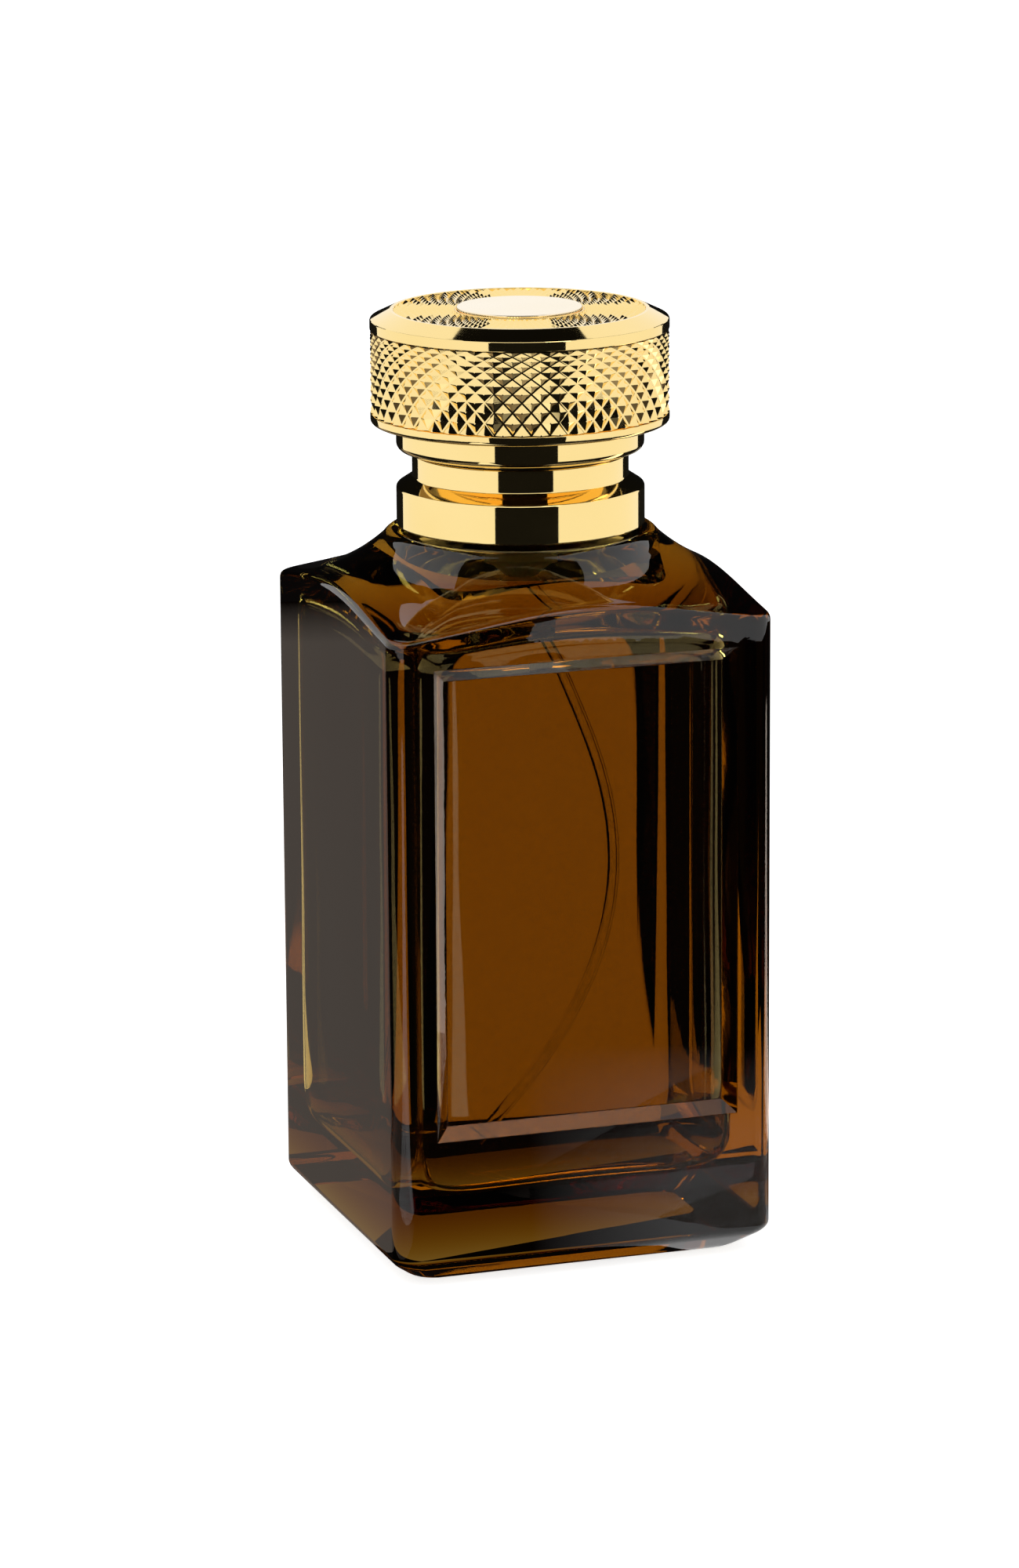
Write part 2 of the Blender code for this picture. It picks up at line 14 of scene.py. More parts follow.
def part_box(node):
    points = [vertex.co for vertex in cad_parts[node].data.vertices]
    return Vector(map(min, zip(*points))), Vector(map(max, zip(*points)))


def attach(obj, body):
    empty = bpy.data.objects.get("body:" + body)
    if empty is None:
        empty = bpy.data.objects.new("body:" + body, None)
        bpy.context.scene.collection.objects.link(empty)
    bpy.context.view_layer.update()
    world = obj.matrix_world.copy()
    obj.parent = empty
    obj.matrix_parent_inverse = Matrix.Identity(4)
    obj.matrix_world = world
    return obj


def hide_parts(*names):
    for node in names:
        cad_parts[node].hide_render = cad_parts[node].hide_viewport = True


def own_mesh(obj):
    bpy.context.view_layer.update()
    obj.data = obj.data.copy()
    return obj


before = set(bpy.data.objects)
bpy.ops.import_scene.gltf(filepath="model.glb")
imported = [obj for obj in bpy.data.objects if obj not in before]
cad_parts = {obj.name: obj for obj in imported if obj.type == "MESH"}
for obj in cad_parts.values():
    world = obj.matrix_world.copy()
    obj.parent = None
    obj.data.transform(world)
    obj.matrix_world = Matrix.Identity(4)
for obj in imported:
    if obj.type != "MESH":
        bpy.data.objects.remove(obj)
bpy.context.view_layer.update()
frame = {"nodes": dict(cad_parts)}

MM = 0.001


def size_of(node):
    """A node's lowest and highest corners, in millimetres."""
    low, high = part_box(node)
    return low / MM, high / MM


GLASS_HIGH = size_of("glass_bottle")[1]
COLLAR_LOW, COLLAR_HIGH = size_of("collar_shell")
SKIRT_LOW, BAND_HIGH = size_of("cap_body")
KNURL_LOW, KNURL_HIGH = size_of("knurled_sleeve")
LID_LOW, LID_HIGH = size_of("cap_top")
DISC_LOW, DISC_HIGH = size_of("cap_medallion")
HEAD_LOW, HEAD_HIGH = size_of("actuator_shell")
CORE_LOW, CORE_HIGH = size_of("actuator_core")
NOZZLE_LOW, NOZZLE_HIGH = size_of("nozzle_insert")
SLEEVE_LOW, SLEEVE_HIGH = size_of("collar_sleeve")
FERRULE_LOW, FERRULE_HIGH = size_of("crimp_ferrule")
STEM_LOW, STEM_HIGH = size_of("stem")
LINER_LOW, LINER_HIGH = size_of("cap_liner")
TUBE_HIGH = size_of("dip_tube")[1]
SPRING_LOW, SPRING_HIGH = size_of("return_spring")

# Glass body
HALF = GLASS_HIGH.x
EDGE_RADIUS = 3.0
CHAMFER_HEIGHT = 2.9
CHAMFER_INSET = 3.7
FOOT_ROUNDING = 0.8
SHOULDER_RADIUS = 17.5
SHOULDER_FOOT = 80.5
SHOULDER_RISE = 9.2
SHOULDER_DECAY = 10.16
RIM_ROUNDING = 0.9
PLATFORM_HEIGHT = 90.75
PLATFORM_INSET = 1.6
CROWN_INSET = 0.7
NECK_RADIUS = 6.5
NECK_FILLET = 0.7
BEAD_RADIUS = 7.45
BEAD_BOTTOM = 93.3
NECK_TOP = GLASS_HIGH.z
BORE_RADIUS = 4.9
LIP_DEPTH = 1.0
CAVITY_HALF = 21.0
CAVITY_EDGE_RADIUS = 6.0
FLOOR_THICKNESS = 11.0
FLOOR_ROUNDING = 4.5
ROOF_FOOT = 79.2
ROOF_RISE = 9.4
ROOF_SPREAD = 11.0
ROOF_POWER = 1.3
ROOF_INSET = 2.5
WALL_TOP_DROP = 3.5
WALL_WAVE = 0.18
WAVE_SIZE = 11.0
WAVE_SQUASH = 0.6
LIQUID_LEVEL = 84.0
LIQUID_OVERLAP = 0.12

# Recessed panel
PANEL_HALF = 19.8
PANEL_HALF_HEIGHT = 29.95
PANEL_MIDDLE = 48.75
PANEL_DEPTH = 1.2
PANEL_BEVEL = 1.7
PANEL_ROUNDING = 0.22

# Gold
COLLAR_RADIUS = COLLAR_HIGH.x
COLLAR_STEP_BOTTOM = 96.1
COLLAR_STEP_TOP = 97.4
COLLAR_NECK_RADIUS = 13.6
CAP_RADIUS = BAND_HIGH.x
SKIRT_RADIUS = 15.57
HEAD_BOTTOM = 104.17
BEVEL_RADIUS = 16.2
BAND_TOP = 117.16
DISC_RADIUS = DISC_HIGH.x
COLUMNS = 50
SIDE_ROWS = 11
SIDE_ROW_GROWTH = 1.11
FACE_ROWS = 11
KNURL_DEPTH = 0.46
FACE_KNURL_DEPTH = 0.42

KNURL_DEPTH_POWER = 0.7
KNURL_SETBACK = 0.03
KNURL_BORE = 17.75
KNURL_CREASE = 12.0

# Pump and spray head
NOZZLE_HEIGHT = (NOZZLE_LOW.z + NOZZLE_HIGH.z) / 2
SPRING_WIRE_RADIUS = 0.2
SPRING_TURNS = 6
TUBE_RADIUS = 0.75
TUBE_BORE_RADIUS = 0.45
TUBE_MOUTH = 81.0
TUBE_BOW = ((0.0, TUBE_MOUTH), (4.0, 66.0), (24.0, 44.0), (-9.0, 13.2))

# Points along rounded stretches and round turned pieces
FOOT_STEPS = 4
CHAMFER_STEPS = 5
BEND_STEPS = 6
SHOULDER_STEPS = 20
ROOF_STEPS = 14
WALL_ROWS = 22
FLOOR_BEND_STEPS = 8
ROUND_SEGMENTS = 192
MIDDLING_SEGMENTS = 160
SMALL_SEGMENTS = 128
TINY_SEGMENTS = 64

# Camera: degrees and millimetres
CAMERA_YAW = 18.625
CAMERA_PITCH = 13.554
CAMERA_ROLL = -0.37
CAMERA_DISTANCE = 814.09
CAMERA_TARGET_HEIGHT = 57.293
CAMERA_SIDESTEP = -1.617
CAMERA_LENS = 147.25

# Lights: spans are degrees round the bottle from the camera, positive to its right
WHITE = (1.0, 1.0, 1.0)
WARM = (1.0, 0.84, 0.72)
GREENISH = (0.85, 1.0, 0.75)
SOFTBOX_RADIUS = 260.0
LEFT_SPAN = (-138.0, -23.0)
FRONT_SPAN = (-23.0, 34.0)
RIGHT_SPAN = (34.0, 138.0)
STRIP_HEIGHT = 0.2


# ---------------- mesh helpers


def new_object(name, data):
    """An object in the scene."""
    thing = bpy.data.objects.new(name, data)
    bpy.context.scene.collection.objects.link(thing)
    return thing


def finish_piece(name, bm, material, body, nodes, sharp_degrees=28.0):
    """A bmesh in millimetres as a piece in metres that rides on a body and stands for CAD nodes."""
    bmesh.ops.scale(bm, verts=bm.verts, vec=(MM, MM, MM))
    bmesh.ops.recalc_face_normals(bm, faces=bm.faces)
    mesh = bpy.data.meshes.new(name)
    bm.to_mesh(mesh)
    bm.free()
    mesh.shade_smooth()
    mesh.set_sharp_from_angle(angle=math.radians(sharp_degrees))
    mesh.materials.append(material)
    piece = new_object(name, mesh)
    weighted = piece.modifiers.new("flat_faces_stay_flat", "WEIGHTED_NORMAL")
    weighted.keep_sharp = True
    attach(piece, body)
    if nodes:
        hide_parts(*nodes)
    return piece


def bridge(bm, rings, round_closed=True):
    """Quads between consecutive rings of equal length."""
    count = len(rings[0])
    last = count if round_closed else count - 1
    for here, there in zip(rings, rings[1:]):
        for i in range(last):
            j = (i + 1) % count
            corners = []
            for vert in (here[i], here[j], there[j], there[i]):
                if vert not in corners:
                    corners.append(vert)
            if len(corners) > 2:
                bm.faces.new(corners)


def rounded(outline, steps=5):
    """A closed (radius, height, rounding) outline as points, with an arc at each rounded corner."""
    points = []
    for i, (radius, height, rounding) in enumerate(outline):
        corner = Vector((radius, height))
        if not rounding:
            points.append(corner)
            continue
        before = (Vector(outline[i - 1][:2]) - corner).normalized()
        after = (Vector(outline[(i + 1) % len(outline)][:2]) - corner).normalized()
        half = before.angle(after) / 2
        centre = corner + (before + after).normalized() * rounding / math.sin(half)
        start = (corner + before * rounding / math.tan(half) - centre).normalized()
        end = (corner + after * rounding / math.tan(half) - centre).normalized()
        arc = [start.slerp(end, step / steps) for step in range(steps + 1)]
        points += [centre + direction * rounding for direction in arc]
    return points


def turned_mesh(outline, segments=ROUND_SEGMENTS):
    """A closed solid of revolution about Z from a (radius, height, rounding) outline."""
    bm = bmesh.new()
    rings = []
    for radius, height in rounded(outline):
        if radius < 1e-6:
            rings.append([bm.verts.new((0.0, 0.0, height))] * segments)
            continue
        turns = [math.tau * k / segments for k in range(segments)]
        spots = [(radius * math.cos(a), radius * math.sin(a), height) for a in turns]
        rings.append([bm.verts.new(spot) for spot in spots])
    if outline[0][0] > 0.0:
        rings.append(rings[0])
    bridge(bm, rings)
    return bm


def bend(start, corner, end, steps):
    """Points along the round bend that replaces a corner."""
    points = []
    for step in range(steps + 1):
        t = step / steps
        u = 1.0 - t
        points.append(
            tuple(u * u * a + 2 * u * t * b + t * t * c for a, b, c in zip(start, corner, end))
        )
    return points


# ---------------- materials


def new_material(name):
    """An empty node material with a Principled shader, and the tree's nodes and links."""
    material = bpy.data.materials.new(name)
    material.use_nodes = True
    tree = material.node_tree
    return material, tree, tree.nodes["Principled BSDF"]


def set_inputs(node, values):
    """Sets a node's own sockets by their names."""
    for name, value in values.items():
        node.inputs[name].default_value = value


def noise_value(tree, scale, detail=3.0, roughness=0.5, stretch=(1.0, 1.0, 1.0)):
    """A noise value over the object's own coordinates, in features per metre."""
    place = tree.nodes.new("ShaderNodeTexCoord")
    mapping = tree.nodes.new("ShaderNodeMapping")
    mapping.inputs["Scale"].default_value = stretch
    texture = tree.nodes.new("ShaderNodeTexNoise")
    set_inputs(texture, {"Scale": scale, "Detail": detail, "Roughness": roughness})
    tree.links.new(place.outputs["Object"], mapping.inputs["Vector"])
    tree.links.new(mapping.outputs["Vector"], texture.inputs["Vector"])
    return texture.outputs["Fac"]


def spread(tree, value, low, high, start=0.3, end=0.7):
    """Maps a value from start..end to low..high."""
    node = tree.nodes.new("ShaderNodeMapRange")
    set_inputs(node, {"From Min": start, "From Max": end, "To Min": low, "To Max": high})
    tree.links.new(value, node.inputs["Value"])
    return node.outputs["Result"]


def tint(tree, value, dark, light):
    """A colour between two, by a value."""
    node = tree.nodes.new("ShaderNodeMix")
    node.data_type = "RGBA"
    set_inputs(node, {"A": (*dark, 1.0), "B": (*light, 1.0)})
    tree.links.new(value, node.inputs["Factor"])
    return node.outputs["Result"]


def bump(tree, shader, value, strength, distance):
    """Adds relief to the shader, over any relief that it has already."""
    node = tree.nodes.new("ShaderNodeBump")
    set_inputs(node, {"Strength": strength, "Distance": distance})
    tree.links.new(value, node.inputs["Height"])
    socket = shader.inputs["Normal"]
    if socket.is_linked:
        tree.links.new(socket.links[0].from_socket, node.inputs["Normal"])
    tree.links.new(node.outputs["Normal"], socket)


def absorb(tree, colour, density):
    """Colours light by the distance it goes through the material."""
    depth = tree.nodes.new("ShaderNodeVolumeAbsorption")
    set_inputs(depth, {"Color": (*colour, 1.0), "Density": density})
    tree.links.new(depth.outputs["Volume"], tree.nodes["Material Output"].inputs["Volume"])


def clear_shader(name, ior, colour=(1.0, 1.0, 1.0)):
    """A see-through node material, its tree and its shader."""
    material, tree, shader = new_material(name)
    set_inputs(shader, {"Base Color": (*colour, 1.0), "Transmission Weight": 1.0, "IOR": ior})
    return material, tree, shader


def gold(name, colour, smooth, smeared, scratches=0.06):
    """Plated gold: finger smears in its polish, hairline scratches and a slight drift of colour."""
    material, tree, shader = new_material(name)
    shader.inputs["Metallic"].default_value = 1.0
    smear = noise_value(tree, scale=120.0, detail=4.0, roughness=0.6)
    polish = spread(tree, smear, smooth, smeared, start=0.45, end=0.75)
    tree.links.new(polish, shader.inputs["Roughness"])
    drift = spread(tree, noise_value(tree, scale=60.0, detail=2.0), 0.0, 1.0)
    deeper = tuple(c * d for c, d in zip(colour, (0.97, 0.95, 0.88)))
    tree.links.new(tint(tree, drift, deeper, colour), shader.inputs["Base Color"])
    hair = noise_value(tree, scale=900.0, detail=2.0, stretch=(1.0, 1.0, 14.0))
    bump(tree, shader, hair, scratches, distance=0.01 * MM)
    return material


def amber_glass():
    """Moulded amber glass: coloured through its depth, faintly wavy, with a little handling haze."""
    material, tree, shader = clear_shader("amber_glass", ior=1.52)
    haze = noise_value(tree, scale=90.0, detail=5.0, roughness=0.65)
    tree.links.new(spread(tree, haze, 0.0, 0.035, start=0.5, end=0.8), shader.inputs["Roughness"])
    waves = noise_value(tree, scale=55.0, detail=2.0, roughness=0.4, stretch=(1.0, 1.0, 0.5))
    bump(tree, shader, waves, strength=0.12, distance=0.4 * MM)
    grain = noise_value(tree, scale=900.0, detail=2.0)
    bump(tree, shader, grain, strength=0.02, distance=0.05 * MM)
    absorb(tree, (0.85, 0.72, 0.25), density=190.0)
    return material


def fragrance():
    """The liquid: clear, coloured through its depth, with hardly visible convection streaks."""
    material, tree, shader = clear_shader("fragrance", ior=1.36)
    shader.inputs["Roughness"].default_value = 0.0
    streaks = noise_value(tree, scale=70.0, detail=2.0)
    bump(tree, shader, streaks, strength=0.03, distance=0.2 * MM)
    absorb(tree, (0.8, 0.67, 0.3), density=195.0)
    return material


def plastic(name, colour, roughness, grain=0.05, clear=0.0, waxy=0.0):
    """Moulded plastic: fine grain and slow changes of gloss and colour. Clear and waxy let light in."""
    material, tree, shader = new_material(name)
    slow = spread(tree, noise_value(tree, scale=150.0), 0.0, 1.0)
    darker = tuple(c * 0.9 for c in colour)
    tree.links.new(tint(tree, slow, darker, colour), shader.inputs["Base Color"])
    gloss = spread(
        tree, noise_value(tree, scale=500.0, detail=4.0), roughness * 0.8, roughness * 1.25
    )
    tree.links.new(gloss, shader.inputs["Roughness"])
    set_inputs(
        shader,
        {"Transmission Weight": clear, "Subsurface Weight": waxy, "Subsurface Scale": 0.001},
    )
    bump(tree, shader, noise_value(tree, scale=6000.0, detail=2.0), grain, distance=0.02 * MM)
    return material


def clear_tube():
    """Natural extruded tubing. It lies in the liquid, so its refraction is set against that."""
    material, tree, shader = clear_shader("tube_plastic", ior=1.035)
    cloud = spread(tree, noise_value(tree, scale=300.0), 0.0, 1.0)
    milky = tint(tree, cloud, (0.93, 0.93, 0.91), (1.0, 1.0, 0.98))
    tree.links.new(milky, shader.inputs["Base Color"])
    polish = spread(tree, noise_value(tree, scale=900.0, detail=2.0), 0.0, 0.04)
    tree.links.new(polish, shader.inputs["Roughness"])
    draw_lines = noise_value(tree, scale=2500.0, detail=2.0, stretch=(1.0, 1.0, 0.1))
    bump(tree, shader, draw_lines, strength=0.05, distance=0.02 * MM)
    return material


def rubber(name, colour, roughness):
    """Soft matt rubber with a dusty, open grain."""
    material, tree, shader = new_material(name)
    dust = noise_value(tree, scale=800.0, detail=6.0, roughness=0.7)
    lighter = tuple(c * 1.6 for c in colour)
    dusty = tint(tree, spread(tree, dust, 0.0, 1.0), colour, lighter)
    tree.links.new(dusty, shader.inputs["Base Color"])
    tree.links.new(spread(tree, dust, roughness - 0.1, roughness + 0.1), shader.inputs["Roughness"])
    bump(tree, shader, noise_value(tree, scale=4000.0), strength=0.2, distance=0.02 * MM)
    return material


def steel(name, colour, roughness, stretch):
    """Drawn or turned steel, with tool lines along one direction."""
    material, tree, shader = new_material(name)
    shader.inputs["Metallic"].default_value = 1.0
    lines = noise_value(tree, scale=1200.0, roughness=0.6, stretch=stretch)
    tree.links.new(spread(tree, lines, roughness * 0.7, roughness * 1.4), shader.inputs["Roughness"])
    darker = tuple(c * 0.8 for c in colour)
    streaky = tint(tree, spread(tree, lines, 0.0, 1.0), darker, colour)
    tree.links.new(streaky, shader.inputs["Base Color"])
    bump(tree, shader, lines, strength=0.1, distance=0.02 * MM)
    return material


# ---------------- glass shapes


def square_reach(angle, half_width, corner_radius):
    """Distance from the axis to a rounded square's side, in the direction of the angle."""
    quarter = math.pi / 2
    off = abs((angle + quarter / 2) % quarter - quarter / 2)
    straight = half_width - corner_radius
    if math.tan(off) <= straight / half_width:
        return half_width / math.cos(off)
    middle = straight * (math.cos(off) + math.sin(off))
    return middle + math.sqrt(middle**2 - 2 * straight**2 + corner_radius**2)


def body_directions(side_steps=22, edge_steps=12):
    """Angles round the body, from -45 degrees: evenly along each side, and closer round each edge."""
    straight = HALF - EDGE_RADIUS
    flat_end = math.atan2(straight, HALF)
    side = [flat_end * (2 * step / side_steps - 1) for step in range(side_steps + 1)]
    edge = []
    for step in range(1, edge_steps):
        turn = math.pi / 2 * step / edge_steps
        x = straight + EDGE_RADIUS * math.cos(turn)
        y = straight + EDGE_RADIUS * math.sin(turn)
        edge.append(math.atan2(y, x))
    quarters = [angle + quarter * math.pi / 2 for quarter in range(4) for angle in side + edge]
    return quarters, len(side), len(side) + len(edge)


def shoulder_height(radius):
    """Height of the glass's sloping shoulder, which sweeps up towards the neck."""
    return SHOULDER_FOOT + SHOULDER_RISE * math.exp(-(radius - SHOULDER_RADIUS) / SHOULDER_DECAY)


def roof_height(radius):
    """Height of the cavity's roof under the shoulder."""
    return ROOF_FOOT + ROOF_RISE * math.exp(-(((radius - BORE_RADIUS) / ROOF_SPREAD) ** ROOF_POWER))


def outer_section(angle):
    """The outside's (radius, height) points in one direction, from the base up to the neck's lip."""
    reach = square_reach(angle, HALF, EDGE_RADIUS)
    foot = square_reach(angle, HALF - CHAMFER_INSET, EDGE_RADIUS)
    lean = (reach - foot) / CHAMFER_HEIGHT
    low = (foot + lean * FOOT_ROUNDING, FOOT_ROUNDING)
    high = (reach - lean * FOOT_ROUNDING, CHAMFER_HEIGHT - FOOT_ROUNDING)
    points = bend((foot - FOOT_ROUNDING, 0.0), (foot, 0.0), low, FOOT_STEPS)
    upright = (reach, CHAMFER_HEIGHT + FOOT_ROUNDING)
    points += bend(high, (reach, CHAMFER_HEIGHT), upright, CHAMFER_STEPS)
    top = shoulder_height(reach)
    rim_inner = (reach - RIM_ROUNDING, shoulder_height(reach - RIM_ROUNDING))
    points += bend((reach, top - RIM_ROUNDING), (reach, top), rim_inner, BEND_STEPS)
    for step in range(1, SHOULDER_STEPS):
        radius = rim_inner[0] + (SHOULDER_RADIUS - rim_inner[0]) * step / SHOULDER_STEPS
        points.append((radius, shoulder_height(radius)))
    slope_top = (SHOULDER_RADIUS, shoulder_height(SHOULDER_RADIUS))
    crown = (SHOULDER_RADIUS - CROWN_INSET, PLATFORM_HEIGHT)
    platform_edge = (SHOULDER_RADIUS - PLATFORM_INSET, PLATFORM_HEIGHT)
    points += bend(slope_top, crown, platform_edge, BEND_STEPS)
    neck = [
        (NECK_RADIUS + NECK_FILLET, PLATFORM_HEIGHT, 0.0),
        (NECK_RADIUS, PLATFORM_HEIGHT + NECK_FILLET, 0.0),
        (NECK_RADIUS, BEAD_BOTTOM - 0.2, 0.3),
        (BEAD_RADIUS, BEAD_BOTTOM + 0.5, 0.3),
        (BEAD_RADIUS, NECK_TOP, 0.4),
        (BORE_RADIUS, NECK_TOP, 0.3),
        (BORE_RADIUS, NECK_TOP - LIP_DEPTH, 0.0),
    ]
    return points + [tuple(point) for point in rounded(neck, 3)[:-1]]


def inner_section(angle, grown=0.0):
    """The cavity's (radius, height) points in one direction, from near the lip down to the floor.

    The wall was blown, not pressed, so it is a little uneven. Grown makes the shape larger all round.
    """
    reach = square_reach(angle, CAVITY_HALF, CAVITY_EDGE_RADIUS)
    points = [(BORE_RADIUS, NECK_TOP - LIP_DEPTH), (BORE_RADIUS, roof_height(BORE_RADIUS) + 1.0)]
    roof_end = (reach - ROOF_INSET, roof_height(reach - ROOF_INSET))
    for step in range(1, ROOF_STEPS):
        radius = BORE_RADIUS + (roof_end[0] - BORE_RADIUS) * step / ROOF_STEPS
        points.append((radius, roof_height(radius)))
    wall_top = (reach, roof_height(reach) - WALL_TOP_DROP)
    points += bend(roof_end, (reach, roof_height(reach)), wall_top, BEND_STEPS)
    wall_foot = (reach, FLOOR_THICKNESS + FLOOR_ROUNDING)
    for row in range(1, WALL_ROWS):
        points.append((reach, wall_top[1] + (wall_foot[1] - wall_top[1]) * row / WALL_ROWS))
    floor_edge = (reach - FLOOR_ROUNDING, FLOOR_THICKNESS)
    points += bend(wall_foot, (reach, FLOOR_THICKNESS), floor_edge, FLOOR_BEND_STEPS)
    points += [(floor_edge[0] * k / 4, FLOOR_THICKNESS) for k in (3, 2, 1)]
    moved = []
    for radius, height in points:
        wave = 0.0
        if radius > BORE_RADIUS + 1.0:
            x, y = radius * math.cos(angle), radius * math.sin(angle)
            wave = WALL_WAVE * noise.noise(Vector((x, y, height * WAVE_SQUASH)) / WAVE_SIZE)
        drop = grown if height < FLOOR_THICKNESS + FLOOR_ROUNDING else 0.0
        moved.append((radius + wave + grown, height - drop))
    return moved


def closed_skin(bm, angles, section):
    """A skin through every direction's points, with a face at both ends. Returns its rings."""
    rings = []
    for index in range(len(section[0])):
        ring = []
        for angle, points in zip(angles, section):
            radius, height = points[index]
            ring.append(bm.verts.new((radius * math.cos(angle), radius * math.sin(angle), height)))
        rings.append(ring)
    bridge(bm, rings)
    bm.faces.new(rings[0])
    bm.faces.new(rings[-1])
    return rings


def front_panel(bm, rings, first, side_count, edge_step):
    """Replaces the flat of the front face by a sheet with the recessed, bevel-framed panel in it."""
    low, high = rings[edge_step], rings[edge_step + 1]
    span = range(first, first + side_count)
    border = [low[i] for i in span] + [high[i] for i in reversed(span)]
    flats = {f for i in list(span)[:-1] for f in low[i].link_faces}
    flats = [f for f in flats if all(v in border for v in f.verts)]
    bmesh.ops.delete(bm, geom=flats, context="FACES_ONLY")
    beyond = 1.0
    frame_outline = [
        (beyond, 0.0, 0.0),
        (0.0, 0.0, PANEL_ROUNDING),
        (-PANEL_BEVEL, PANEL_DEPTH, PANEL_ROUNDING),
        (-PANEL_BEVEL - beyond, PANEL_DEPTH, 0.0),
    ]
    profile = rounded(frame_outline, 4)[1:-1]
    loops = []
    for grow, depth in profile:
        half = PANEL_HALF + grow
        tall = PANEL_HALF_HEIGHT + grow
        corners = ((-half, -tall), (half, -tall), (half, tall), (-half, tall))
        loops.append([bm.verts.new((x, depth - HALF, PANEL_MIDDLE + z)) for x, z in corners])
    edges = [bm.edges.get((a, b)) for a, b in zip(border, border[1:] + border[:1])]
    outer = loops[0]
    edges += [bm.edges.new((a, b)) for a, b in zip(outer, outer[1:] + outer[:1])]
    bmesh.ops.triangle_fill(bm, edges=edges, use_beauty=True, normal=(0.0, -1.0, 0.0))
    bridge(bm, loops)
    bm.faces.new(loops[-1])


def glass_bottle(material):
    """One closed skin: up the outside, over the lip, down the inside and across the cavity's floor."""
    bm = bmesh.new()
    angles, side_count, quarter_count = body_directions()
    section = [outer_section(a) + inner_section(a) for a in angles]
    rings = closed_skin(bm, angles, section)
    chamfer_end = FOOT_STEPS + CHAMFER_STEPS + 1
    front_panel(bm, rings, 3 * quarter_count, side_count, chamfer_end)
    finish_piece("glass_body", bm, material, "bottle", ["glass_bottle"])


def liquid(material):
    """The cavity's own shape up to the liquid's level, a hair larger so that it wets the glass."""
    bm = bmesh.new()
    angles = body_directions()[0]
    wetted = [inner_section(angle, LIQUID_OVERLAP) for angle in angles]
    section = [[p for p in points if p[1] < LIQUID_LEVEL] for points in wetted]
    depth = min(len(points) for points in section)
    section = [points[len(points) - depth :] for points in section]
    for points in section:
        radius = points[0][0]
        points.insert(0, (radius, LIQUID_LEVEL))
        points.insert(0, (radius * 0.5, LIQUID_LEVEL - 0.05))
    closed_skin(bm, angles, section)
    finish_piece("fragrance_liquid", bm, material, "bottle", [], 50.0)


# ---------------- gold shapes


def collar_shell(material):
    """The stepped collar: a thin shell, open at the top for the cap's upstand."""
    wall, mouth, slope_drop = 0.6, 11.2, 0.35
    low, top = COLLAR_LOW.z, COLLAR_HIGH.z
    inside, neck_inside = COLLAR_RADIUS - wall, COLLAR_NECK_RADIUS - wall
    outline = [
        (inside, low, 0.1),
        (COLLAR_RADIUS, low, 0.25),
        (COLLAR_RADIUS, COLLAR_STEP_BOTTOM, 0.45),
        (COLLAR_NECK_RADIUS, COLLAR_STEP_TOP, 0.4),
        (COLLAR_NECK_RADIUS, top, 0.25),
        (mouth, top, 0.1),
        (mouth, top - wall, 0.0),
        (neck_inside, top - wall, 0.2),
        (neck_inside, COLLAR_STEP_TOP - slope_drop, 0.2),
        (inside, COLLAR_STEP_BOTTOM - slope_drop, 0.2),
    ]
    bm = turned_mesh(outline)
    finish_piece("collar", bm, material, "bottle", ["collar_shell"])


def cap_skirt(material):
    """The cap's skirt and lower band, with the tube inside that carries the knurled ring."""
    bottom, band_top = SKIRT_LOW.z, KNURL_LOW.z - 0.1
    bore, shelf = 12.3, 105.4
    tube_outside, tube_inside, tube_top = 17.6, 17.05, 115.7
    outline = [
        (bore, bottom + 0.1, 0.1),
        (SKIRT_RADIUS, bottom, 0.9),
        (SKIRT_RADIUS, HEAD_BOTTOM, 0.3),
        (CAP_RADIUS, HEAD_BOTTOM, 0.45),
        (CAP_RADIUS, band_top, 0.15),
        (tube_outside, band_top, 0.0),
        (tube_outside, tube_top, 0.0),
        (tube_inside, tube_top, 0.0),
        (tube_inside, shelf, 0.0),
        (bore, shelf, 0.0),
    ]
    bm = turned_mesh(outline)
    finish_piece("cap_skirt", bm, material, "cap", ["cap_body"])


def knurl(bm, columns, rows, place, ground=0.86, tip=0.1):
    """Rows of four-sided points divided by flat grooves, each row set half a point round from the last.

    place(column, row, height) gives a position, with height 0 in the grooves and 1 at a point's tip.
    Returns the two border rings, at the first and at the last row.
    """
    corners = {}

    def corner(column, row):
        key = (round(2 * column) % (2 * columns), row)
        if key not in corners:
            corners[key] = bm.verts.new(place(column, row, 0.0))
        return corners[key]

    borders = {0: [], rows: []}
    for row in range(rows + 1):
        for step in range(columns):
            centre = step + 0.5 * (row % 2)
            reach = [(-0.5, 0.0), (0.0, 1.0), (0.5, 0.0), (0.0, -1.0)]
            inside = [(dc, dr if 0 <= row + dr <= rows else 0.0) for dc, dr in reach]
            foot = [(centre + dc * ground, row + dr * ground) for dc, dr in inside]
            rim = [bm.verts.new(place(*spot, 0.0)) for spot in foot]
            top = [bm.verts.new(place(centre + dc * tip, row + dr * tip, 1.0)) for dc, dr in inside]
            bm.faces.new(top)
            for i in range(4):
                j = (i + 1) % 4
                bm.faces.new((rim[i], rim[j], top[j], top[i]))
                if inside[i] == (0.0, 0.0) or inside[j] == (0.0, 0.0):
                    continue
                outer = [corner(centre + dc, row + dr) for dc, dr in (inside[i], inside[j])]
                bm.faces.new((outer[0], outer[1], rim[j], rim[i]))
            if row in borders:
                back = 3 if row == 0 else 1
                borders[row] += [corner(centre - 0.5, row), rim[0], rim[back], rim[2]]
    return borders[0], borders[rows]


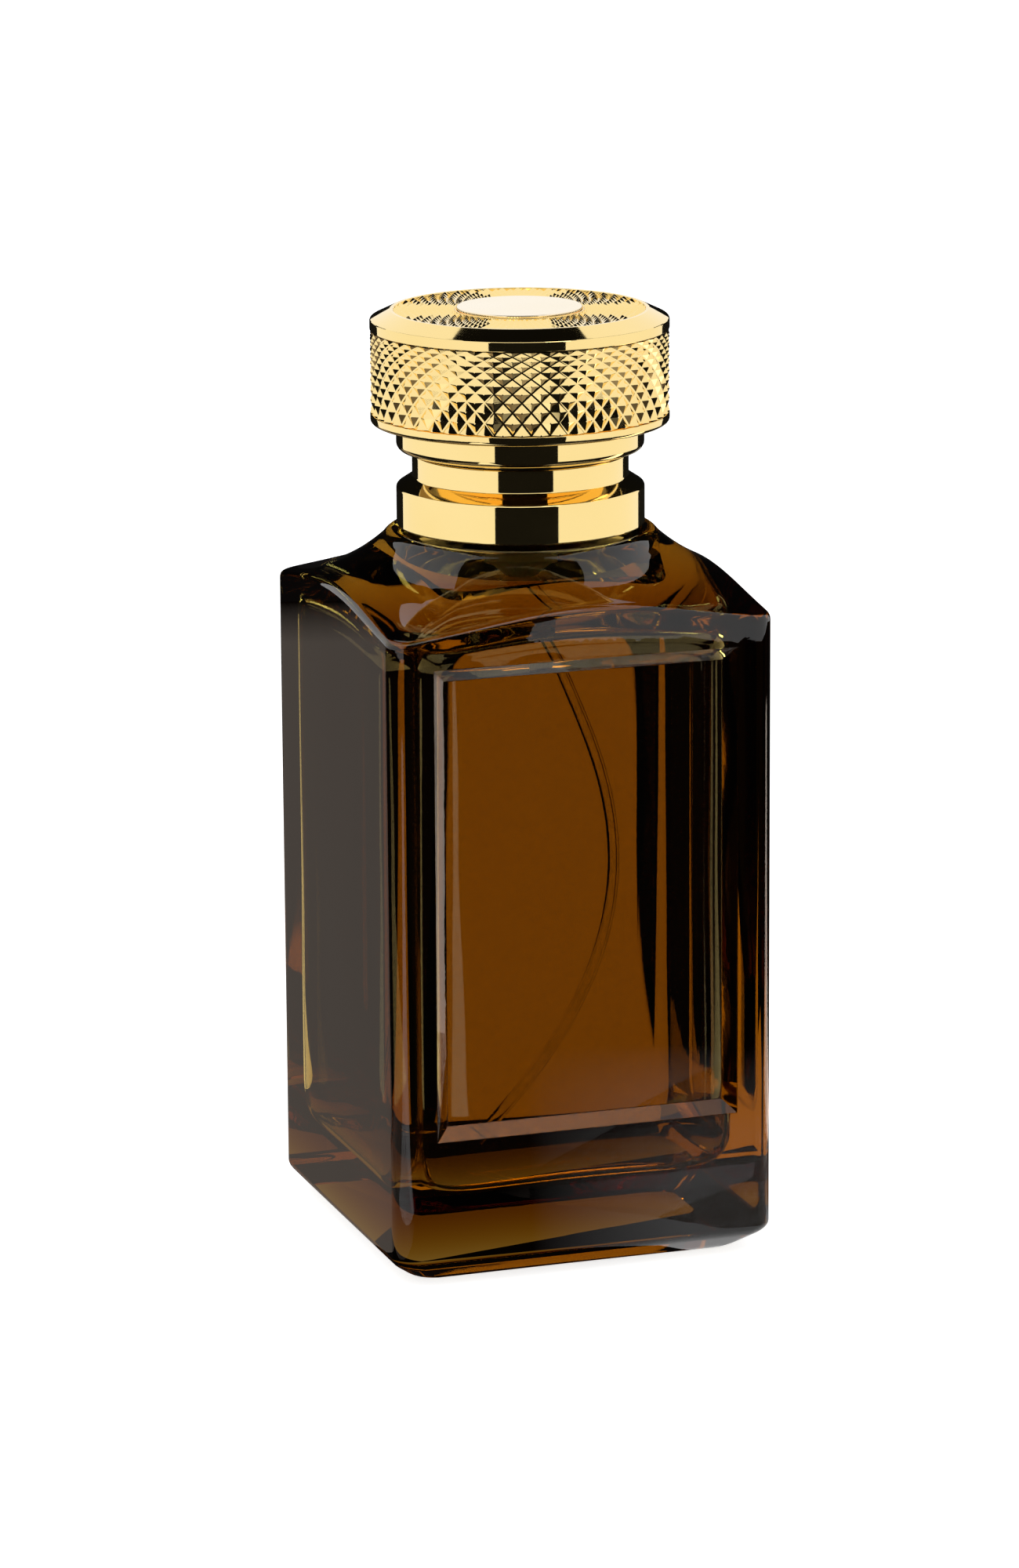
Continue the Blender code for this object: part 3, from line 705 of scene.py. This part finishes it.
def knurled_sleeve(material):
    """The ring of points round the cap, with rows that grow taller towards its foot."""
    bm = bmesh.new()
    low, high = KNURL_LOW.z, KNURL_HIGH.z
    pitch = math.tau / COLUMNS
    tallness = [SIDE_ROW_GROWTH**-row for row in range(SIDE_ROWS)]
    total = sum(tallness)
    heights = [low + (high - low) * sum(tallness[:row]) / total for row in range(SIDE_ROWS + 1)]

    def place(column, row, height):
        base = min(int(row), SIDE_ROWS - 1)
        z = heights[base] + (heights[base + 1] - heights[base]) * (row - base)
        depth = KNURL_DEPTH * (tallness[base] / tallness[0]) ** KNURL_DEPTH_POWER
        radius = CAP_RADIUS - KNURL_SETBACK - depth * (1.0 - height)
        return radius * math.cos(column * pitch), radius * math.sin(column * pitch), z

    bottom, top = knurl(bm, COLUMNS, SIDE_ROWS, place)
    rings = []
    for border, height in ((bottom, low), (top, high)):
        ring = []
        for x, y, _ in (vert.co for vert in border):
            reach = math.hypot(x, y)
            ring.append(bm.verts.new((x * KNURL_BORE / reach, y * KNURL_BORE / reach, height)))
        rings.append(ring)
    bridge(bm, [bottom, rings[0]])
    bridge(bm, [top, rings[1]])
    for ring in rings:
        ring.sort(key=lambda v: math.atan2(v.co.y, v.co.x))
    bridge(bm, rings)
    stands_for = ["knurled_sleeve"]
    finish_piece(
        "knurled_ring", bm, material, "cap", stands_for, KNURL_CREASE
    )


def cap_lid(material):
    """Upper band and bevel, and the ring of fine points on the face round the disc's recess."""
    recess = DISC_RADIUS + 0.15
    wall, edge, gap = recess + 0.15, BEVEL_RADIUS - 0.45, 0.02
    low, face = LID_LOW.z, LID_HIGH.z
    plug, plug_step = 17.5, 0.25
    trench = face - FACE_KNURL_DEPTH - gap
    lip, pocket = face - 0.05, face - 0.5
    outline = [
        (0.0, low + plug_step, 0.0),
        (plug, low + plug_step, 0.0),
        (plug, low, 0.0),
        (CAP_RADIUS, low, 0.15),
        (CAP_RADIUS, BAND_TOP, 0.3),
        (BEVEL_RADIUS, face, 0.2),
        (edge, face, 0.1),
        (edge, trench, 0.0),
        (wall, trench, 0.0),
        (wall, lip, 0.1),
        (recess, lip, 0.05),
        (recess, pocket, 0.0),
        (0.0, pocket, 0.0),
    ]
    bm = turned_mesh(outline)
    pitch = math.tau / COLUMNS
    outer, inner = edge - gap, wall + gap
    shrink = (inner / outer) ** (1 / FACE_ROWS)
    floor = face - FACE_KNURL_DEPTH

    def place(column, row, height):
        radius = outer * shrink**row
        z = floor + (FACE_KNURL_DEPTH - gap) * height * (0.6 + 0.4 * radius / outer)
        return radius * math.cos(column * pitch), radius * math.sin(column * pitch), z

    for border in knurl(bm, COLUMNS, FACE_ROWS, place):
        below = [bm.verts.new((v.co.x, v.co.y, floor - 0.1)) for v in border]
        bridge(bm, [border, below])
        bm.faces.new(below)
    finish_piece("cap_lid", bm, material, "cap", ["cap_top"], KNURL_CREASE)


def cap_disc(material):
    """The plain disc in the middle of the cap's face."""
    outline = [
        (0.0, DISC_LOW.z, 0.0),
        (DISC_RADIUS, DISC_LOW.z, 0.0),
        (DISC_RADIUS, DISC_HIGH.z, 0.12),
        (0.0, DISC_HIGH.z, 0.0),
    ]
    bm = turned_mesh(outline, SMALL_SEGMENTS)
    finish_piece("cap_disc", bm, material, "cap", ["cap_medallion"])


# ---------------- under the cap


def pierced(bm, radius, start, end, height):
    """Cuts a round hole along Y, from start to end, through a bmesh."""
    things = []
    drill = bmesh.new()
    size = {"radius1": radius, "radius2": radius, "depth": end - start}
    bmesh.ops.create_cone(drill, cap_ends=True, segments=48, **size)
    turn = Matrix.Rotation(math.pi / 2, 4, "X")
    bmesh.ops.transform(drill, verts=drill.verts, matrix=turn)
    bmesh.ops.translate(drill, verts=drill.verts, vec=(0.0, (start + end) / 2, height))
    for solid in (bm, drill):
        bmesh.ops.recalc_face_normals(solid, faces=solid.faces)
        mesh = bpy.data.meshes.new("solid")
        solid.to_mesh(mesh)
        solid.free()
        things.append(new_object("solid", mesh))
    cutting = things[0].modifiers.new("hole", "BOOLEAN")
    cutting.operation = "DIFFERENCE"
    cutting.solver = "EXACT"
    cutting.object = things[1]
    cut = bmesh.new()
    cut.from_object(things[0], bpy.context.evaluated_depsgraph_get())
    for thing in things:
        mesh = thing.data
        bpy.data.objects.remove(thing)
        bpy.data.meshes.remove(mesh)
    return cut


def head_shell(material):
    """The thin metal cap of the spray head, spun round at its top edge and pierced for the nozzle."""
    radius, bottom, top = HEAD_HIGH.x, HEAD_LOW.z, HEAD_HIGH.z
    wall, plate = 0.4, 0.5
    outline = [
        (0.0, top - plate, 0.0),
        (radius - wall, top - plate, 0.15),
        (radius - wall, bottom, 0.08),
        (radius, bottom, 0.12),
        (radius, top, 0.5),
        (radius - 1.1, top, 0.25),
        (radius - 3.4, top - 0.22, 1.5),
        (0.0, top - 0.28, 0.0),
    ]
    bm = turned_mesh(outline, MIDDLING_SEGMENTS)
    bm = pierced(bm, radius=1.7, start=-8.5, end=-5.5, height=NOZZLE_HEIGHT)
    stands_for = ["actuator_shell"]
    finish_piece("spray_head_shell", bm, material, "spray_head", stands_for)


def head_core(material):
    """The moulded head inside the shell, with its stem socket, rim and nozzle pocket."""
    radius, bottom, top = CORE_HIGH.x, CORE_LOW.z, CORE_HIGH.z
    socket, socket_top = 1.62, 108.5
    boss_bottom, ceiling = 105.8, 106.6
    outline = [
        (0.0, socket_top, 0.0),
        (socket, socket_top, 0.1),
        (socket, boss_bottom, 0.15),
        (2.9, boss_bottom, 0.2),
        (3.1, ceiling, 0.2),
        (5.7, ceiling, 0.2),
        (5.9, bottom, 0.1),
        (radius, bottom, 0.2),
        (radius, top, 0.3),
        (0.0, top, 0.0),
    ]
    bm = turned_mesh(outline, SMALL_SEGMENTS)
    bm = pierced(bm, radius=1.45, start=-8.0, end=-4.6, height=NOZZLE_HEIGHT)
    stands_for = ["actuator_core"]
    finish_piece("spray_head_core", bm, material, "spray_head", stands_for)


def nozzle(material):
    """The spray insert: a swirl cup with a flared orifice, lying along -Y."""
    orifice, radius, back, front = 0.2, 1.3, 4.75, 6.9
    outline = [
        (orifice, back, 0.0),
        (radius, back, 0.1),
        (radius, front, 0.15),
        (0.95, front + 0.1, 0.08),
        (0.7, front - 0.15, 0.1),
        (0.45, front - 0.5, 0.1),
        (orifice, front - 0.65, 0.0),
    ]
    bm = turned_mesh(outline, TINY_SEGMENTS)
    bmesh.ops.transform(bm, verts=bm.verts, matrix=Matrix.Rotation(math.pi / 2, 4, "X"))
    bmesh.ops.translate(bm, verts=bm.verts, vec=(0.0, 0.0, NOZZLE_HEIGHT))
    finish_piece("spray_nozzle", bm, material, "spray_head", ["nozzle_insert"])


def neck_sleeve(material):
    """The plastic ring inside the collar, with the grooved upstand that the cap grips."""
    bottom, top, radius = SLEEVE_LOW.z, SLEEVE_HIGH.z, SLEEVE_HIGH.x
    bore, lip, lip_bottom, lip_top = 8.6, 7.0, 99.35, 100.1
    upstand, upstand_bore, groove = 10.9, 9.6, 10.9 - 0.12
    shoulder, shoulder_top = 12.7, 99.4
    outline = [
        (bore, bottom, 0.1),
        (bore, lip_bottom, 0.1),
        (lip, lip_bottom, 0.1),
        (lip, lip_top, 0.15),
        (upstand_bore, lip_top, 0.2),
        (upstand_bore, top - 0.4, 0.1),
        (upstand_bore + 0.3, top, 0.2),
        (upstand - 0.4, top, 0.2),
        (upstand, top - 0.7, 0.3),
        (upstand, 103.8, 0.1),
        (groove, 103.6, 0.1),
        (groove, 102.9, 0.1),
        (upstand, 102.7, 0.1),
        (upstand, shoulder_top, 0.1),
        (shoulder, shoulder_top, 0.1),
        (shoulder, 96.9, 0.1),
        (radius, 95.6, 0.2),
        (radius, bottom, 0.2),
    ]
    bm = turned_mesh(outline, MIDDLING_SEGMENTS)
    finish_piece("neck_sleeve", bm, material, "bottle", ["collar_sleeve"])


def ferrule(material):
    """The crimped metal cup on the neck: rolled edge, rounded shoulder and turret round the stem."""
    bottom, top, radius = FERRULE_LOW.z, FERRULE_HIGH.z, FERRULE_HIGH.x
    wall, plate = 0.4, 99.25
    rolled, roll_top, cup, turret, mouth = 6.85, 92.8, 7.75, 4.5, 2.1
    outline = [
        (rolled, bottom, 0.1),
        (radius, bottom, 0.4),
        (radius, plate, 0.6),
        (turret, plate, 0.3),
        (turret, top, 0.35),
        (mouth, top, 0.1),
        (mouth, top - wall, 0.1),
        (turret - wall, top - wall, 0.1),
        (turret - wall, plate - wall, 0.1),
        (cup, plate - wall, 0.2),
        (cup, roll_top + 0.2, 0.2),
        (rolled, roll_top, 0.1),
    ]
    bm = turned_mesh(outline, SMALL_SEGMENTS)
    finish_piece("crimped_ferrule", bm, material, "bottle", ["crimp_ferrule"])


def pump_shaft(material):
    """The hollow stem with its flange."""
    bottom, top = STEM_LOW.z, STEM_HIGH.z
    flange, shaft, bore, flange_thickness = 2.9, 1.5, 0.6, 0.6
    bore_foot = bottom + 1.2
    outline = [
        (0.0, bottom, 0.0),
        (flange, bottom, 0.12),
        (flange, bottom + flange_thickness, 0.12),
        (shaft, bottom + flange_thickness, 0.1),
        (shaft, top, 0.15),
        (bore, top, 0.1),
        (bore, bore_foot, 0.1),
        (0.0, bore_foot, 0.0),
    ]
    bm = turned_mesh(outline, TINY_SEGMENTS)
    finish_piece("pump_shaft", bm, material, "pump_stem", ["stem"])


def coil_spring(material):
    """The return spring: round wire, a dead coil at each end."""
    bm = bmesh.new()
    wire, turns, per_turn, sides = SPRING_WIRE_RADIUS, SPRING_TURNS, 40, 12
    reach = SPRING_HIGH.x - wire
    bottom, top = SPRING_LOW.z + wire, SPRING_HIGH.z - wire
    dead = 2.2 * wire / (top - bottom)
    rings = []
    for step in range(turns * per_turn + 1):
        along = step / per_turn
        first, last = min(along, 1.0), max(along - turns + 1.0, 0.0)
        live = min(max((along - 1.0) / (turns - 2.0), 0.0), 1.0)
        share = dead * first + (1.0 - 2.0 * dead) * live + dead * last
        turn = math.tau * along
        height = bottom + (top - bottom) * share
        ring = []
        for side in range(sides):
            round_wire = math.tau * side / sides
            out = reach + wire * math.cos(round_wire)
            rise = height + wire * math.sin(round_wire)
            ring.append(bm.verts.new((out * math.cos(turn), out * math.sin(turn), rise)))
        rings.append(ring)
    bridge(bm, rings)
    bm.faces.new(rings[0])
    bm.faces.new(rings[-1])
    spring = finish_piece("coil_spring", bm, material, "bottle", ["return_spring"])
    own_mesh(spring)


def cap_lining(material):
    """The plastic cup inside the cap, its mouth chamfered and grooved for the grip ring."""
    low, high = LINER_LOW.z, LINER_HIGH.z
    bore, groove, outside, thickness = 11.1, 11.6, 12.1, 0.6
    groove_bottom, groove_top = 102.7, 103.9
    outline = [
        (0.0, high - thickness, 0.0),
        (bore, high - thickness, 0.6),
        (bore, groove_top, 0.1),
        (groove, groove_top, 0.1),
        (groove, groove_bottom, 0.1),
        (bore, groove_bottom, 0.1),
        (bore, low + 0.5, 0.1),
        (bore + 0.35, low, 0.1),
        (outside, low, 0.15),
        (outside, high, 0.2),
        (0.0, high, 0.0),
    ]
    bm = turned_mesh(outline, MIDDLING_SEGMENTS)
    finish_piece("cap_lining", bm, material, "cap", ["cap_liner"])


def on_bow(t):
    """The dip tube's middle line: its place (x, z) and its direction at a share of its bowed length."""
    u = 1.0 - t
    weights = (u**3, 3 * u * u * t, 3 * u * t * t, t**3)
    slopes = (-3 * u * u, 3 * u * u - 6 * u * t, 6 * u * t - 3 * t * t, 3 * t * t)
    return [
        sum(w * end[axis] for w, end in zip(row, TUBE_BOW))
        for row in (weights, slopes)
        for axis in (0, 1)
    ]


def suction_tube(material):
    """The dip tube: straight in its socket, then bowed towards +X, and cut square at its foot."""
    bm = bmesh.new()
    sides, steps = 24, 72
    stations = [(0.0, TUBE_HIGH.z, 0.0, -1.0)] + [on_bow(step / steps) for step in range(steps + 1)]
    skins = {TUBE_RADIUS: [], TUBE_BORE_RADIUS: []}
    for x, z, dx, dz in stations:
        length = math.hypot(dx, dz)
        for radius, rings in skins.items():
            ring = []
            for side in range(sides):
                turn = math.tau * side / sides
                out = radius * math.cos(turn) / length
                ring.append(bm.verts.new((x - dz * out, radius * math.sin(turn), z + dx * out)))
            rings.append(ring)
    skin, bore = skins.values()
    bridge(bm, skin + bore[::-1] + skin[:1])
    finish_piece("suction_tube", bm, material, "bottle", ["dip_tube"])


# ---------------- stage


def emission(name, strength, colour):
    """A material that only glows."""
    material = bpy.data.materials.new(name)
    material.use_nodes = True
    tree = material.node_tree
    tree.nodes.remove(tree.nodes["Principled BSDF"])
    glow = tree.nodes.new("ShaderNodeEmission")
    set_inputs(glow, {"Color": (*colour, 1.0), "Strength": strength})
    tree.links.new(glow.outputs["Emission"], tree.nodes["Material Output"].inputs["Surface"])
    return material


def stage_mesh(name, bm, material):
    """A bmesh in millimetres as a stage object in metres, which the camera doesn't see."""
    bmesh.ops.scale(bm, verts=bm.verts, vec=(MM, MM, MM))
    mesh = bpy.data.meshes.new(name)
    bm.to_mesh(mesh)
    bm.free()
    mesh.materials.append(material)
    thing = new_object(name, mesh)
    thing.visible_camera = False
    return thing


def toward(angle, radius, height):
    """A point at an angle round the bottle, measured from the camera, positive to its right."""
    turn = math.radians(-90.0 - CAMERA_YAW + angle)
    return radius * math.cos(turn), radius * math.sin(turn), height


def curved_light(name, span, radius, heights, strength, colour=WHITE):
    """An upright glowing screen, curved round the bottle over a span of angles."""
    bm = bmesh.new()
    start, end = span
    steps = 24
    angles = [start + (end - start) * step / steps for step in range(steps + 1)]
    rings = [[bm.verts.new(toward(a, radius, z)) for a in angles] for z in heights]
    bridge(bm, rings, round_closed=False)
    return stage_mesh(name, bm, emission(name, strength, colour))


def only_seen_by(thing, reflections, refractions):
    """Limits a light to mirror images of it, or to views of it through the glass."""
    thing.visible_glossy = reflections
    thing.visible_transmission = refractions
    thing.visible_diffuse = False
    thing.visible_shadow = False
    return thing


def fading_emission(name, strength, colour, far, half_width, fade, widening):
    """A glow that dies away towards the sides and the far end of a strip lying along X."""
    material = emission(name, strength, colour)
    tree = material.node_tree

    def calculate(operation, first, second=0.0, third=0.0):
        node = tree.nodes.new("ShaderNodeMath")
        node.operation = operation
        for socket, value in zip(node.inputs, (first, second, third)):
            if isinstance(value, float):
                socket.default_value = value
            else:
                tree.links.new(value, socket)
        return node.outputs[0]

    place = tree.nodes.new("ShaderNodeTexCoord")
    split = tree.nodes.new("ShaderNodeSeparateXYZ")
    tree.links.new(place.outputs["Object"], split.inputs[0])
    width = calculate("MULTIPLY_ADD", split.outputs["X"], widening / MM, 1.0)
    off = calculate("DIVIDE", calculate("ABSOLUTE", split.outputs["Y"]), width)
    across = spread(tree, off, strength, 0.0, (half_width - fade) * MM, half_width * MM)
    along = spread(tree, split.outputs["X"], 1.0, 0.0, (far - 3 * fade) * MM, far * MM)
    tree.links.new(calculate("MULTIPLY", across, along), tree.nodes["Emission"].inputs["Strength"])
    return material


def floor_strip(name, angle, reach, half_width, fade, strength, colour=WHITE, side=0.0, widening=0.0):
    """A lit strip of floor running away from the bottle, its line moved sideways from the axis.

    Widening is how much wider it gets for each millimetre of its length, as a share of its width.
    """
    near, far = reach
    wide = half_width * (1.0 + widening * far)
    bm = bmesh.new()
    corners = ((near, -wide), (near, wide), (far, wide), (far, -wide))
    bm.faces.new([bm.verts.new((x, y, STRIP_HEIGHT)) for x, y in corners])
    glow = fading_emission(name, strength, colour, far, half_width, fade, widening)
    strip = stage_mesh(name, bm, glow)
    away = Vector(toward(angle, 1.0, 0.0))
    sideways = Vector((-away.y, away.x, 0.0)) * side * MM
    heading = Matrix.Rotation(math.atan2(away.y, away.x), 4, "Z")
    strip.matrix_world = Matrix.Translation(sideways) @ heading
    return strip


def add_camera():
    """Left of the panel's normal and a little above, looking down at the bottle's middle."""
    yaw, pitch, roll = (math.radians(v) for v in (CAMERA_YAW, CAMERA_PITCH, CAMERA_ROLL))
    level = math.cos(pitch)
    back = Vector((-math.sin(yaw) * level, -math.cos(yaw) * level, math.sin(pitch)))
    right = Vector((math.cos(yaw), -math.sin(yaw), 0.0))
    up = back.cross(right)
    rolled_right = math.cos(roll) * right + math.sin(roll) * up
    rolled_up = math.cos(roll) * up - math.sin(roll) * right
    data = bpy.data.cameras.new("camera")
    data.sensor_width = 36.0
    data.lens = CAMERA_LENS
    data.clip_start = 0.01
    camera = new_object("camera", data)
    target = Vector((0.0, 0.0, CAMERA_TARGET_HEIGHT))
    place = target + back * CAMERA_DISTANCE + right * CAMERA_SIDESTEP
    rotation = Matrix((rolled_right, rolled_up, back)).transposed().to_4x4()
    camera.matrix_world = Matrix.Translation(place * MM) @ rotation
    bpy.context.scene.camera = camera


def add_world():
    """Pale to the eye and to dull surfaces, and dim in reflections, as a studio with dark walls is."""
    world = bpy.data.worlds.new("studio")
    world.use_nodes = True
    tree = world.node_tree
    background = tree.nodes["Background"]
    path = tree.nodes.new("ShaderNodeLightPath")
    dull = tree.nodes.new("ShaderNodeMix")
    dull.data_type = "RGBA"
    set_inputs(dull, {"A": (0.004, 0.004, 0.004, 1.0), "B": (0.6, 0.6, 0.6, 1.0)})
    seen = tree.nodes.new("ShaderNodeMix")
    seen.data_type = "RGBA"
    seen.inputs["B"].default_value = (1.0, 1.0, 1.0, 1.0)
    tree.links.new(path.outputs["Is Diffuse Ray"], dull.inputs["Factor"])
    tree.links.new(dull.outputs["Result"], seen.inputs["A"])
    tree.links.new(path.outputs["Is Camera Ray"], seen.inputs["Factor"])
    tree.links.new(seen.outputs["Result"], background.inputs["Color"])
    bpy.context.scene.world = world


def add_floor():
    """A plain pale floor, dim in reflections and through glass, where it would wash the gold out."""
    bm = bmesh.new()
    bmesh.ops.create_grid(bm, x_segments=1, y_segments=1, size=8.0)
    bmesh.ops.translate(bm, verts=bm.verts, vec=(0.0, 0.0, -0.05 * MM))
    mesh = bpy.data.meshes.new("floor")
    bm.to_mesh(mesh)
    bm.free()
    material = bpy.data.materials.new("floor")
    material.use_nodes = True
    tree = material.node_tree
    shader = tree.nodes["Principled BSDF"]
    set_inputs(
        shader,
        {
            "Base Color": (0.9, 0.9, 0.9, 1.0),
            "Roughness": 1.0,
            "Specular IOR Level": 0.0,
            "Emission Color": (1.0, 1.0, 1.0, 1.0),
            "Emission Strength": 0.75,
        },
    )
    path = tree.nodes.new("ShaderNodeLightPath")
    dim = tree.nodes.new("ShaderNodeEmission")
    dim.inputs["Strength"].default_value = 0.008
    away = tree.nodes.new("ShaderNodeMath")
    away.operation = "MAXIMUM"
    tree.links.new(path.outputs["Is Glossy Ray"], away.inputs[0])
    tree.links.new(path.outputs["Is Transmission Ray"], away.inputs[1])
    mix = tree.nodes.new("ShaderNodeMixShader")
    tree.links.new(away.outputs[0], mix.inputs[0])
    tree.links.new(shader.outputs["BSDF"], mix.inputs[1])
    tree.links.new(dim.outputs["Emission"], mix.inputs[2])
    tree.links.new(mix.outputs["Shader"], tree.nodes["Material Output"].inputs["Surface"])
    mesh.materials.append(material)
    floor = new_object("floor", mesh)


def add_screens():
    """Softboxes at both sides and in front, a screen behind the glass, and two for the gold."""
    for side, span in (("left", LEFT_SPAN), ("right", RIGHT_SPAN)):
        curved_light(side + "_softbox", span, SOFTBOX_RADIUS, (110.0, 680.0), 1.0)
        apron = curved_light(side + "_softbox_apron", span, SOFTBOX_RADIUS, (30.0, 110.0), 1.0)
        only_seen_by(apron, True, False)
    front = curved_light("front_softbox", FRONT_SPAN, SOFTBOX_RADIUS, (270.0, 600.0), 1.0)
    only_seen_by(front, True, False)
    back = curved_light("back_screen", (160.0, 200.0), 400.0, (270.0, 440.0), 7.0, GREENISH)
    only_seen_by(back, False, True)
    kicker = curved_light("frame_kicker", (25.0, 49.0), SOFTBOX_RADIUS - 2.0, (380.0, 475.0), 2.6)
    only_seen_by(kicker, True, False)
    behind_cap = curved_light("cap_screen", (115.0, 245.0), 30.0, (120.0, 168.0), 1.0)
    only_seen_by(behind_cap, True, False)


def add_glows():
    """Lit floor on all four sides, seen only through the glass: what the amber window shows."""
    long = {"reach": (90.0, 900.0), "half_width": 26.0, "fade": 4.0, "strength": 1.1}
    behind = {"reach": (40.0, 900.0), "half_width": 23.8, "fade": 1.5, "strength": 1.1}
    glows = (
        floor_strip("floor_glow_back", 180.0, **behind, widening=1 / CAMERA_DISTANCE),
        floor_strip("floor_glow_left", -90.0, **long),
        floor_strip("floor_glow_right", 90.0, **long),
        floor_strip("floor_glow_front", 0.0, **long),
    )
    for glow in glows:
        only_seen_by(glow, False, True)


def add_sheens():
    """Lit floor seen only as reflections: on the left face, foot, frame, right edge and knurl."""
    knurl_light = {"reach": (40.0, 140.0), "half_width": 45.0, "fade": 12.0, "strength": 0.25}
    sheens = (
        floor_strip("left_face_sheen", -143.0, (0.0, 400.0), 50.0, 12.0, 0.26, WARM, side=15.0),
        floor_strip("front_foot_sheen", 37.0, (25.0, 125.0), 40.0, 20.0, 1.0, side=25.0),
        floor_strip("left_frame_sheen", 107.0, (60.0, 340.0), 30.0, 5.0, 2.4, WARM),
        floor_strip("right_frame_sheen", -33.0, (60.0, 340.0), 25.0, 5.0, 1.1),
        floor_strip("right_edge_sheen", 160.0, (20.0, 365.0), 25.0, 5.0, 0.4),
        floor_strip("left_knurl_sheen", -60.0, **knurl_light, colour=WARM),
        floor_strip("right_knurl_sheen", 66.0, **knurl_light, colour=WARM),
    )
    for sheen in sheens:
        only_seen_by(sheen, True, False)


# ---------------- the object

nodes = frame["nodes"]


def repaint(names, material):
    """Gives carried-over CAD nodes a material."""
    for name in names:
        mesh = nodes[name].data
        mesh.materials.clear()
        mesh.materials.append(material)


polished = gold("polished_gold", (1.0, 0.77, 0.34), smooth=0.03, smeared=0.09)
pale = gold("medallion_gold", (1.0, 0.87, 0.66), smooth=0.06, smeared=0.12, scratches=0.03)
thin_gold = gold("anodised_gold", (1.0, 0.74, 0.32), smooth=0.08, smeared=0.16)

glass_bottle(amber_glass())
liquid(fragrance())
collar_shell(polished)
cap_skirt(polished)
knurled_sleeve(polished)
cap_lid(polished)
cap_disc(pale)

natural = plastic("natural_plastic", (0.78, 0.78, 0.76), 0.38, clear=0.3, waxy=0.3)
black = plastic("black_plastic", (0.02, 0.02, 0.02), 0.35, grain=0.12)
head_shell(thin_gold)
head_core(black)
nozzle(black)
neck_sleeve(black)
ferrule(thin_gold)
pump_shaft(natural)
cap_lining(black)
suction_tube(clear_tube())
wire_steel = steel("spring_steel", (0.62, 0.62, 0.62), 0.22, (1.0, 1.0, 8.0))
coil_spring(wire_steel)
repaint(["pump_housing", "pump_closure"], natural)
repaint(["piston"], plastic("piston_plastic", (0.86, 0.86, 0.84), 0.45, waxy=0.4))
repaint(["neck_gasket", "stem_seal"], rubber("seal_rubber", (0.05, 0.05, 0.05), 0.75))
repaint(["cap_grip_ring"], rubber("grip_rubber", (0.04, 0.04, 0.04), 0.65))
repaint(["check_ball"], wire_steel)
repaint(["cap_weight"], steel("weight_steel", (0.5, 0.5, 0.5), 0.35, (1.0, 1.0, 12.0)))

add_camera()
add_world()
add_floor()
add_screens()
add_glows()
add_sheens()

scene = bpy.context.scene
scene.view_settings.view_transform = "Standard"
scene.cycles.use_denoising = True
scene.cycles.max_bounces = 24
scene.cycles.transmission_bounces = 20
scene.cycles.glossy_bounces = 8
